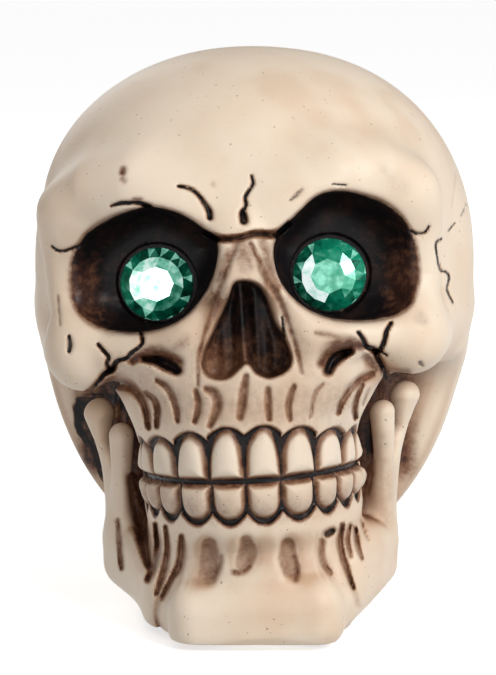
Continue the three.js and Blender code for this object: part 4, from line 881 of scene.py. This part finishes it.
def hidden_share(points, normals, reaches):
    """How closed in each point is, by how soon the skin comes near again along its normal."""
    closed = np.zeros(len(points), np.float32)
    for reach in reaches:
        ahead = points + normals * reach
        in_grid = np.clip(ahead, GRID_LOW, GRID_HIGH - 2 * PITCH).astype(np.float32)
        gap = trilinear(skin, in_grid) + np.linalg.norm(ahead - in_grid, axis=1)
        closed += np.clip(1 - gap / reach, 0, 1)
    return closed / len(reaches)


def in_view(points, normals):
    """1 where the photograph's viewpoint sees a point, 0 where something is in front of it."""
    to_eye = EYE.astype(np.float32) - points
    to_eye /= np.linalg.norm(to_eye, axis=1, keepdims=True)
    clear = np.full(len(points), CLEAR_AIR, np.float32)
    for reach in SIGHT_REACHES:
        clear = np.minimum(clear, trilinear(skin, points + normals * SIGHT_LIFT + to_eye * reach))
    facing = np.sum(to_eye * normals, axis=1)
    return smoothstep(*CLEAR_FADE, clear) * smoothstep(*FACING_FADE, facing)


on_skin = smoothstep(*SKIN_FADE, trilinear(skin, spots))
fine_close = hidden_share(spots, normals, FINE_REACHES)
broad_close = hidden_share(spots, normals, BROAD_REACHES)
seen = in_view(spots, normals) * on_skin
px, py = to_pixels(*spots.T)
spot_y = spots[:, 1]
spot_x, spot_z = to_upright(spots[:, 0], spot_y, spots[:, 2])
side_spot = np.abs(spot_x)
spot_places = {"side": side_spot, "y": spot_y, "z": spot_z}


def zone(limits):
    """1 inside limits of the upright frame, fading to 0 round them."""
    return math.prod(within(spot_places[key], *limits[key]) for key in limits)


# Sockets and nose
forward = fall(*FORWARD_Y, spot_y) * on_skin
from_socket = sample_plane(socket_outline, px, py)
from_nose = sample_plane(nose_outline, px, py)
carved = smoothstep(*CARVED_FADE, -trilinear(uncut, spots))
in_socket = most(fall(*OUTLINE_FADE, from_socket), carved * fall(*CARVED_REACH, from_socket))
in_nose = most(fall(*OUTLINE_FADE, from_nose), carved * fall(*CARVED_REACH, from_nose))
in_hollow = most(in_socket, in_nose) * forward
at_rim = fall(*RIM_FADE, np.minimum(from_socket, from_nose)) * forward
low_nose = in_nose * fall(*NOSE_LIGHT["z"], spot_z)
low_nose = low_nose * (1 - NOSE_LIGHT["x_share"] * smoothstep(*NOSE_LIGHT["x"], spot_x))
outer_wall = in_socket * smoothstep(*OUTER_WALL["side"], side_spot) * fall(*OUTER_WALL["z"], spot_z)
from_stone = np.hypot(side_spot - GEM["x"], spot_z - GEM["z"])
seat_paint = fall(*SEAT_PAINT["radius"], from_stone) * within(spot_y, *SEAT_PAINT["y"])
muzzle = zone(MUZZLE_ZONE) * forward

# Branches of the jaw, and teeth
bars_at = (side_spot, spot_y, spot_z)
from_bars = np.minimum.reduce([to_bar(bars_at, np.sign(spot_x), bar) for bar in (RAMUS, BRANCH, CONDYLE)])
on_bar = fall(*BAR_FADE, from_bars)
off_bar = (1 - on_bar) * on_skin
less_on_bar = (1 - LIGHTER["bar"] * on_bar) * on_skin
spot_run, spot_off = on_arch_run(spot_x, spot_y)
spot_tooth, spot_gum = tooth_fields(spot_run, spot_z)
at_teeth = fall(*TEETH_PAINT["off_arch"], spot_off) * fall(*TEETH_PAINT["back_y"], spot_y) * off_bar
between = fall(*BLACK_GAP["gum"], spot_gum) * smoothstep(*BLACK_GAP["tooth"], spot_tooth) * at_teeth
tooth_edge = fall(*BROWN_EDGE["gum"], spot_gum) * smoothstep(*BROWN_EDGE["tooth"], spot_tooth) * at_teeth
on_tooth = fall(*TOOTH_FADE, spot_tooth) * at_teeth
low_teeth = on_tooth * fall(BITE["z"] - LOW_TEETH_FADE, BITE["z"], spot_z)

# Dark paint and painted shade behind the branches
wall = zone(WALL_ZONE) * off_bar * np.where(spot_x > 0, smoothstep(*WALL_FADE_Z, spot_z), 1.0)
recess_edge = np.where(spot_x < 0, *RECESS_SIDE["outer"])
recess = within(side_spot, RECESS_SIDE["inner"], recess_edge, RECESS_SIDE["fade"])
recess *= zone(RECESS_ZONE) * off_bar
# More black on the -X side, away from the key light: painted shade
recess_black = np.where(spot_x < 0, *BLACK["recess"]) * smoothstep(*RECESS_DEEP, recess)
behind = seen * (1 - on_bar) * (1 - on_tooth) * smoothstep(*BEHIND_Y, spot_y)

hollow_black = in_hollow * (1 - LIGHTER["low_nose"] * low_nose) * (1 - LIGHTER["nose"] * in_nose)
black = most(sample_plane(ink, px, py) * seen, sample_plane(far_ink, px, py) * behind, BLACK["gap"] * between)
black = most(black, BLACK["hollow"] * hollow_black, BLACK["hollow"] * seat_paint)
black *= 1 - LIGHTER["outer_wall"] * outer_wall
# Black in tight crevices, less on the branches: dark wash and painted shade
black = most(black, BLACK["crevice"] * smoothstep(*CREVICE["black"], fine_close) * less_on_bar)
black = most(black, BLACK["wall"] * wall, recess_black)
brown = most(sample_plane(umber, px, py) * seen, sample_plane(far_umber, px, py) * behind)
brown = most(brown, BROWN["tooth_edge"] * tooth_edge, BROWN["rim"] * at_rim, wall, BROWN["recess"] * recess)
brown = most(brown, in_hollow * (1 - LIGHTER["low_nose_brown"] * low_nose))
# Brown in closed-in hollows and tight crevices, less on the branches: a wash that also paints their shade
deep = smoothstep(*DEEP_FADE, broad_close) * on_skin * (1 - LIGHTER["deep_bar"] * on_bar)
brown = most(brown, BROWN["deep"] * deep)
brown = most(brown, BROWN["crevice"] * smoothstep(*CREVICE["brown"], fine_close) * on_skin)
# Painted shade in closed-in places, less on the branches, and more brown over the muzzle and the lower teeth
shade_wash = smoothstep(*SHADE_WASH_FADE, broad_close) * less_on_bar
shade_wash = most(shade_wash, SHADE_WASH["muzzle"] * muzzle, SHADE_WASH["low_teeth"] * low_teeth)


def set_attribute(mesh, name, values):
    layer = mesh.attributes.new(name, "FLOAT", "POINT")
    layer.data.foreach_set("value", np.clip(values, 0, 1).astype(np.float32))


# The black and the brown hold painted shade as well as paint
painted = {"black_paint_and_shade": black, "brown_wash_and_shade": brown, "tooth": on_tooth, "shade_wash": shade_wash}
for name, values in painted.items():
    set_attribute(skull_mesh, name, values)
skull_mesh.vertices.foreach_set("co", (spots * MM).ravel())
skull_mesh.polygons.foreach_set("use_smooth", np.ones(len(skull_mesh.polygons), bool))
skull_mesh.update()
skull_mesh.normals_split_custom_set_from_vertices(normals)
skull_piece = add_object("skull_sculpt", skull_mesh)
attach(skull_piece, "skull")
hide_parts("skull_casting")


# Materials

def tone(red, green, blue):
    """A display colour, 0 to 255, as the shaders' linear colour."""
    linear = [
        ((c / 255 + 0.055) / 1.055) ** 2.4 if c > 10 else c / 255 / 12.92
        for c in (red, green, blue)
    ]
    return (*linear, 1.0)


class Paint:
    """A material with its nodes and short ways to add and join them."""

    def __init__(self, name, **sockets):
        self.material = bpy.data.materials.new(name)
        self.material.use_nodes = True
        self.tree = self.material.node_tree
        self.shader = next(n for n in self.tree.nodes if n.type == "BSDF_PRINCIPLED")
        for socket, value in sockets.items():
            self.shader.inputs[socket.replace("_", " ")].default_value = value

    def node(self, kind, **values):
        made = self.tree.nodes.new("ShaderNode" + kind)
        for key, value in values.items():
            setattr(made, key, value)
        return made

    def join(self, source, target):
        self.tree.links.new(source, target)

    def feed(self, socket, source):
        self.join(source, self.shader.inputs[socket])

    def attribute(self, name):
        return self.node("Attribute", attribute_name=name).outputs["Fac"]

    def place(self):
        return self.node("TexCoord").outputs["Object"]

    def noise(self, scale, detail=3.0, rough=0.5):
        made = self.node("TexNoise")
        made.inputs["Scale"].default_value = scale
        made.inputs["Detail"].default_value = detail
        made.inputs["Roughness"].default_value = rough
        self.join(self.place(), made.inputs["Vector"])
        return made.outputs["Fac"]

    def spread(self, source, low, high, to_low=0.0, to_high=1.0):
        made = self.node("MapRange", interpolation_type="SMOOTHSTEP")
        for key, value in zip(("From Min", "From Max", "To Min", "To Max"), (low, high, to_low, to_high)):
            made.inputs[key].default_value = value
        self.join(source, made.inputs["Value"])
        return made.outputs["Result"]

    def math(self, operation, a, b):
        made = self.node("Math", operation=operation, use_clamp=operation != "POWER")
        for slot, value in zip(made.inputs, (a, b)):
            if isinstance(value, (int, float)):
                slot.default_value = value
            else:
                self.join(value, slot)
        return made.outputs["Value"]

    def mix(self, share, first, second):
        made = self.node("Mix", data_type="RGBA")
        self.join(share, made.inputs["Factor"])
        colours = [s for s in made.inputs if s.type == "RGBA"]
        for socket, value in zip(colours, (first, second)):
            if isinstance(value, tuple):
                socket.default_value = value
            else:
                self.join(value, socket)
        return next(s for s in made.outputs if s.type == "RGBA")

    def bump(self, height, strength, distance, socket="Normal"):
        made = self.node("Bump")
        made.inputs["Strength"].default_value = strength
        made.inputs["Distance"].default_value = distance
        self.join(height, made.inputs["Height"])
        self.feed(socket, made.outputs["Normal"])


RESIN = {
    "bone": tone(243, 225, 203),
    "cloud": tone(236, 212, 187),
    "flush": tone(222, 190, 160),
    "tooth": tone(238, 224, 205),
    # brown of the painted shade in the hollows
    "shade_wash": tone(182, 138, 102),
    "speck": tone(112, 78, 58),
    "wash": tone(124, 84, 60),
    "deep_wash": tone(72, 43, 34),
    "black": tone(22, 20, 22),
    "brown_black": tone(44, 31, 28),
}


def resin_paint():
    paint = Paint("painted_resin", Subsurface_Weight=0.08, Subsurface_Scale=0.003)
    paint.shader.inputs["Subsurface Radius"].default_value = (1.0, 0.6, 0.35)
    clouds = paint.spread(paint.noise(scale=28), 0.35, 0.68)
    bone = paint.mix(clouds, RESIN["bone"], RESIN["cloud"])
    flush = paint.spread(paint.noise(scale=46, detail=2), 0.5, 0.75, 0.0, 0.5)
    bone = paint.mix(flush, bone, RESIN["flush"])
    on_tooth = paint.spread(paint.attribute("tooth"), 0.3, 0.9, 0.0, 0.6)
    bone = paint.mix(on_tooth, bone, RESIN["tooth"])
    # Painted shade of the hollows, in brown
    shade_washed = paint.spread(paint.attribute("shade_wash"), 0.0, 1.0, 0.0, 0.7)
    bone = paint.mix(shade_washed, bone, RESIN["shade_wash"])
    specks = paint.spread(paint.noise(scale=900, detail=1), 0.74, 0.78, 0.0, 0.55)
    bone = paint.mix(specks, bone, RESIN["speck"])
    grain = paint.noise(scale=420, detail=4, rough=0.65)
    worn = paint.spread(grain, 0.3, 0.75, 0.72, 1.15)
    # The brown and black below paint the shade of the hollows as well as the wash and the black paint
    wash = paint.math("MULTIPLY", paint.attribute("brown_wash_and_shade"), worn)
    washed = paint.mix(paint.spread(wash, 0.0, 0.75), bone, RESIN["wash"])
    washed = paint.mix(paint.spread(wash, 0.55, 1.0), washed, RESIN["deep_wash"])
    dark = paint.math("MULTIPLY", paint.attribute("black_paint_and_shade"), worn)
    streaks = paint.spread(paint.noise(scale=160), 0.45, 0.75)
    black_tone = paint.mix(streaks, RESIN["black"], RESIN["brown_black"])
    paint.feed("Base Color", paint.mix(paint.spread(dark, 0.2, 0.8), washed, black_tone))
    paint.feed("Roughness", paint.spread(dark, 0.2, 0.9, 0.42, 0.34))
    paint.feed("Specular IOR Level", paint.spread(dark, 0.2, 0.9, 0.26, 0.16))
    pits = paint.math("MULTIPLY", paint.noise(scale=700), 0.35)
    pits = paint.math("ADD", pits, paint.math("MULTIPLY", grain, 0.3))
    paint.bump(pits, strength=0.35, distance=0.0004)
    return paint.material


def give(piece, *materials):
    piece.data.materials.clear()
    for material in materials:
        piece.data.materials.append(material)


give(skull_piece, resin_paint())


# Stones: a table, eight main facets and two rows of outer facets, each with a tone of its own that paints its
# green together with painted reflections and glints

# Rings of corners: radius, height, count and turn in steps
GEM_RINGS = [(9.8, 0.0, 32, 0.0), (9.8, 0.9, 32, 0.0), (9.4, 1.4, 16, 0.0), (7.3, 3.3, 16, 0.5),
             (4.7, 4.7, 8, 0.0)]
FLAT_ANGLE = math.radians(1.0)
TABLE_AHEAD = 0.98  # how squarely the table and the main facets face ahead
MAIN_AHEAD = 0.8
TONE_SCATTER = 0.12
GEM_TILT = {"right": (math.radians(8.0), math.radians(1.0)), "left": (math.radians(3.0), math.radians(-5.0))}
# The table's tone, a painted reflection
TABLE_TONE = {"right": 0.86, "left": 0.56}
# Main facets, counted from the +X side over the top. Their pale and white tones are painted reflections and
# glints.
MAIN_TONES = {
    "right": (0.78, 0.74, 0.84, 0.92, 0.97, 0.82, 0.5, 0.56),
    "left": (0.8, 0.42, 0.46, 0.95, 1.0, 0.98, 0.36, 0.55),
}
OUTER_TONES = (0.3, 0.18, 0.42, 0.26, 0.66, 0.1, 0.36, 0.22)
# Greens of the facets, from dark to pale, and the white of the painted glints
GREENS = {"shade": tone(2, 84, 64), "green": tone(16, 168, 128), "pale": tone(136, 222, 194),
          "painted_glint": tone(238, 248, 248)}


def stone_mesh(name, main_tones, table_tone, dice):
    """A faceted stone with its back in the plane y = 0 and its table towards -Y, in millimetres."""
    shape = bmesh.new()
    for radius, height, count, turn in GEM_RINGS:
        for i in range(count):
            angle = (i + turn) * 2 * math.pi / count
            shape.verts.new((radius * math.cos(angle), -height, radius * math.sin(angle)))
    bmesh.ops.convex_hull(shape, input=list(shape.verts))
    bmesh.ops.delete(shape, geom=[v for v in shape.verts if not v.link_faces], context="VERTS")
    bmesh.ops.dissolve_limit(shape, angle_limit=FLAT_ANGLE, verts=list(shape.verts), edges=list(shape.edges))
    bmesh.ops.recalc_face_normals(shape, faces=list(shape.faces))
    mesh = bpy.data.meshes.new(name)
    shape.to_mesh(mesh)
    shape.free()
    tones = []
    for face in mesh.polygons:
        ahead = -face.normal.y
        turn = math.atan2(face.center.z, face.center.x) / (2 * math.pi) % 1.0
        if ahead > TABLE_AHEAD:
            tones.append(table_tone)
        elif ahead > MAIN_AHEAD:
            tones.append(main_tones[int(turn * len(main_tones))] - TONE_SCATTER * dice.random())
        else:
            tones.append(dice.choice(OUTER_TONES))
    layer = mesh.attributes.new("facet_tone_and_glint", "FLOAT", "FACE")
    layer.data.foreach_set("value", tones)
    return mesh


def stone_paint():
    paint = Paint("green_gem", Metallic=0.3, Coat_Weight=1.0, Coat_IOR=1.55, Coat_Roughness=0.06)
    ripple = paint.spread(paint.noise(scale=420, detail=2), 0.3, 0.7, -0.11, 0.11)
    shown = paint.math("ADD", paint.attribute("facet_tone_and_glint"), ripple)
    green = paint.mix(paint.spread(shown, 0.0, 0.35), GREENS["shade"], GREENS["green"])
    green = paint.mix(paint.spread(shown, 0.35, 0.7), green, GREENS["pale"])
    green = paint.mix(paint.spread(shown, 0.7, 1.0), green, GREENS["painted_glint"])
    paint.feed("Base Color", green)
    # Painted glow: the facets give off light in their own tone, as light inside the stone would
    paint.feed("Emission Color", green)
    painted_glow = paint.math("POWER", paint.spread(shown, 0.1, 1.0), 2.0)
    paint.feed("Emission Strength", paint.math("MULTIPLY", painted_glow, 0.8))
    paint.feed("Roughness", paint.spread(paint.noise(scale=350), 0.4, 0.8, 0.12, 0.24))
    paint.bump(paint.noise(scale=190, detail=1), strength=0.5, distance=0.0006, socket="Coat Normal")
    return paint.material


gem_material = stone_paint()
for name, side in (("right", -1), ("left", 1)):
    mesh = stone_mesh(name + "_stone", MAIN_TONES[name], TABLE_TONE[name], random.Random(SEED + side))
    corners = np.zeros(len(mesh.vertices) * 3, np.float32)
    mesh.vertices.foreach_get("co", corners)
    corners = corners.reshape(-1, 3)
    pitch, yaw = GEM_TILT[name]
    lift = GEM["radius"] * math.sin(abs(pitch) + abs(yaw))
    y_up = corners[:, 1] * math.cos(pitch) + corners[:, 2] * math.sin(pitch)
    z_up = corners[:, 2] * math.cos(pitch) - corners[:, 1] * math.sin(pitch)
    x_turn = corners[:, 0] * math.cos(yaw) - y_up * math.sin(yaw)
    y_turn = corners[:, 0] * math.sin(yaw) + y_up * math.cos(yaw)
    x = x_turn + side * GEM["x"]
    y = y_turn + GEM["back_y"] - lift
    z = z_up + GEM["z"]
    rise = z - LEAN_PIVOT_Z
    world_x = x * math.cos(LEAN) - rise * math.sin(LEAN)
    world_z = LEAN_PIVOT_Z + x * math.sin(LEAN) + rise * math.cos(LEAN)
    mesh.vertices.foreach_set("co", (np.stack([world_x, y, world_z], axis=1) * MM).astype(np.float32).ravel())
    mesh.update()
    stone = add_object(name + "_stone", mesh)
    give(stone, gem_material)
    stone.visible_diffuse = False
    stone.visible_glossy = False
    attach(stone, "skull")
    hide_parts(name + "_eye_gem")


# Finishes of the pieces inside and under the skull

GRAIN_FADE = (0.3, 0.7)
GRAIN_DEPTH = 0.0003
GLOSS_FINENESS = 2.5
BUMP_FINENESS = 8.0


def grained(name, first, second, scale, gloss, bump, **sockets):
    """A plain finish with two close tones, uneven gloss and a fine grain."""
    paint = Paint(name, **sockets)
    patches = paint.spread(paint.noise(scale, detail=4), *GRAIN_FADE)
    paint.feed("Base Color", paint.mix(patches, tone(*first), tone(*second)))
    paint.feed("Roughness", paint.spread(paint.noise(scale * GLOSS_FINENESS), *GRAIN_FADE, *gloss))
    paint.bump(paint.noise(scale * BUMP_FINENESS, detail=2), bump, GRAIN_DEPTH)
    return paint.material


# Each finish: two tones, scale of its grain, range of roughness, bump, other sockets, and its nodes
FINISHES = [
    ("led_lens", (170, 226, 190), (150, 214, 176), 120, (0.08, 0.16), 0.05, {"Transmission_Weight": 0.6},
     ["right_eye_led", "left_eye_led"]),
    ("glue", (235, 228, 212), (222, 212, 190), 160, (0.3, 0.5), 0.3, {}, ["right_led_glue", "left_led_glue"]),
    ("black_plastic", (34, 34, 36), (26, 26, 28), 240, (0.42, 0.6), 0.25, {},
     ["battery_box", "battery_door", "switch_body"]),
    ("knob_plastic", (60, 60, 64), (48, 48, 52), 240, (0.35, 0.5), 0.2, {}, ["switch_knob"]),
    ("plated_steel", (196, 199, 203), (168, 171, 176), 420, (0.22, 0.4), 0.1, {"Metallic": 1.0},
     ["positive_contact", "negative_contact", "bridge_contact", "battery_door_screw", "switch_screw_1",
      "switch_screw_2", "box_screw_1", "box_screw_2", "box_screw_3", "box_screw_4"]),
    ("cell_jacket", (46, 54, 62), (38, 44, 52), 90, (0.25, 0.35), 0.05, {"Metallic": 0.3},
     ["battery_1", "battery_2"]),
    ("resistor_body", (206, 176, 128), (190, 158, 110), 300, (0.4, 0.55), 0.2, {}, ["resistor"]),
    ("red_wire", (176, 30, 30), (150, 22, 24), 200, (0.35, 0.5), 0.1, {},
     ["red_wire", "red_link", "switch_wire"]),
    ("black_wire", (28, 28, 30), (20, 20, 22), 200, (0.35, 0.5), 0.1, {}, ["black_wire", "black_link"]),
    ("felt", (58, 44, 36), (38, 28, 22), 900, (0.9, 1.0), 0.9, {"Sheen_Weight": 0.4},
     ["felt_pad_1", "felt_pad_2", "felt_pad_3", "felt_pad_4"]),
]
for name, first, second, scale, gloss, bump, sockets, nodes in FINISHES:
    finish = grained(name, first, second, scale, gloss, bump, **sockets)
    for node in nodes:
        give(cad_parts[node], finish)


# Camera, floor and light

scene = bpy.context.scene
scene.view_settings.view_transform = "Standard"
camera_data = bpy.data.cameras.new("camera")
camera_data.sensor_width = SENSOR
camera_data.lens = VIEW["focal"] * SENSOR / max(PHOTO)
camera = add_object("camera", camera_data)
camera.location = Vector(EYE * MM)
camera.rotation_mode = "QUATERNION"
camera.rotation_quaternion = Vector(-VIEW_BACK).to_track_quat("-Z", "Y")
scene.camera = camera

FLOOR_Z = -0.0003
FLOOR_REACH = 4.0
floor_corners = [(x * FLOOR_REACH, y * FLOOR_REACH, FLOOR_Z) for x, y in ((-1, -1), (1, -1), (1, 1), (-1, 1))]
floor = add_object("floor", new_mesh("floor", floor_corners, [(0, 1, 2, 3)]))
floor_paint = Paint("pale_floor", Roughness=0.8, Emission_Color=WHITE, Emission_Strength=0.6)
floor_clouds = floor_paint.noise(scale=3, detail=2)
floor_paint.feed("Base Color", floor_paint.mix(floor_clouds, tone(250, 250, 250), tone(247, 247, 247)))
# The floor is clear from below, where it would hide the underside
from_below = floor_paint.node("NewGeometry").outputs["Backfacing"]
floor_paint.feed("Alpha", floor_paint.math("SUBTRACT", 1.0, from_below))
give(floor, floor_paint.material)
floor.visible_diffuse = False

# A white backdrop all round, which neither lights the object nor shades it
BACKDROP_RADIUS = 7.0
sphere = bmesh.new()
bmesh.ops.create_uvsphere(sphere, u_segments=48, v_segments=24, radius=BACKDROP_RADIUS)
backdrop_mesh = bpy.data.meshes.new("backdrop")
sphere.to_mesh(backdrop_mesh)
sphere.free()
backdrop = add_object("backdrop", backdrop_mesh)
backdrop_paint = Paint("white_backdrop", Roughness=1.0, Emission_Color=WHITE, Emission_Strength=0.97)
backdrop_paint.shader.inputs["Base Color"].default_value = (0.0, 0.0, 0.0, 1.0)
give(backdrop, backdrop_paint.material)
for rays in ("visible_diffuse", "visible_glossy", "visible_transmission", "visible_shadow"):
    setattr(backdrop, rays, False)

SKY_STRENGTH = 0.38
world = bpy.data.worlds.new("studio")
world.use_nodes = True
scene.world = world
sky = next(n for n in world.node_tree.nodes if n.type == "BACKGROUND")
sky.inputs["Color"].default_value = WHITE
sky.inputs["Strength"].default_value = SKY_STRENGTH


# Soft boxes: place and size in metres, and power in watts
LIGHT_AIM = Vector((0.0, 0.0, 0.08))
SOFT_BOXES = [
    ("key", (0.7, -0.72, 0.62), (0.5, 0.5), 8.4),
    ("fill", (-0.7, -0.7, 0.35), (0.5, 0.6), 0.5),
    ("front", (0.03, -1.15, 0.2), (0.3, 0.16), 1.0),
    ("back", (-0.5, 1.0, 0.5), (0.6, 0.6), 2.0),
]
for name, place, size, power in SOFT_BOXES:
    lamp = bpy.data.lights.new(name, "AREA")
    lamp.shape = "RECTANGLE"
    lamp.size = size[0]
    lamp.size_y = size[1]
    lamp.energy = power
    soft_box = add_object(name, lamp)
    soft_box.location = place
    soft_box.rotation_mode = "QUATERNION"
    soft_box.rotation_quaternion = (LIGHT_AIM - Vector(place)).to_track_quat("-Z", "Y")
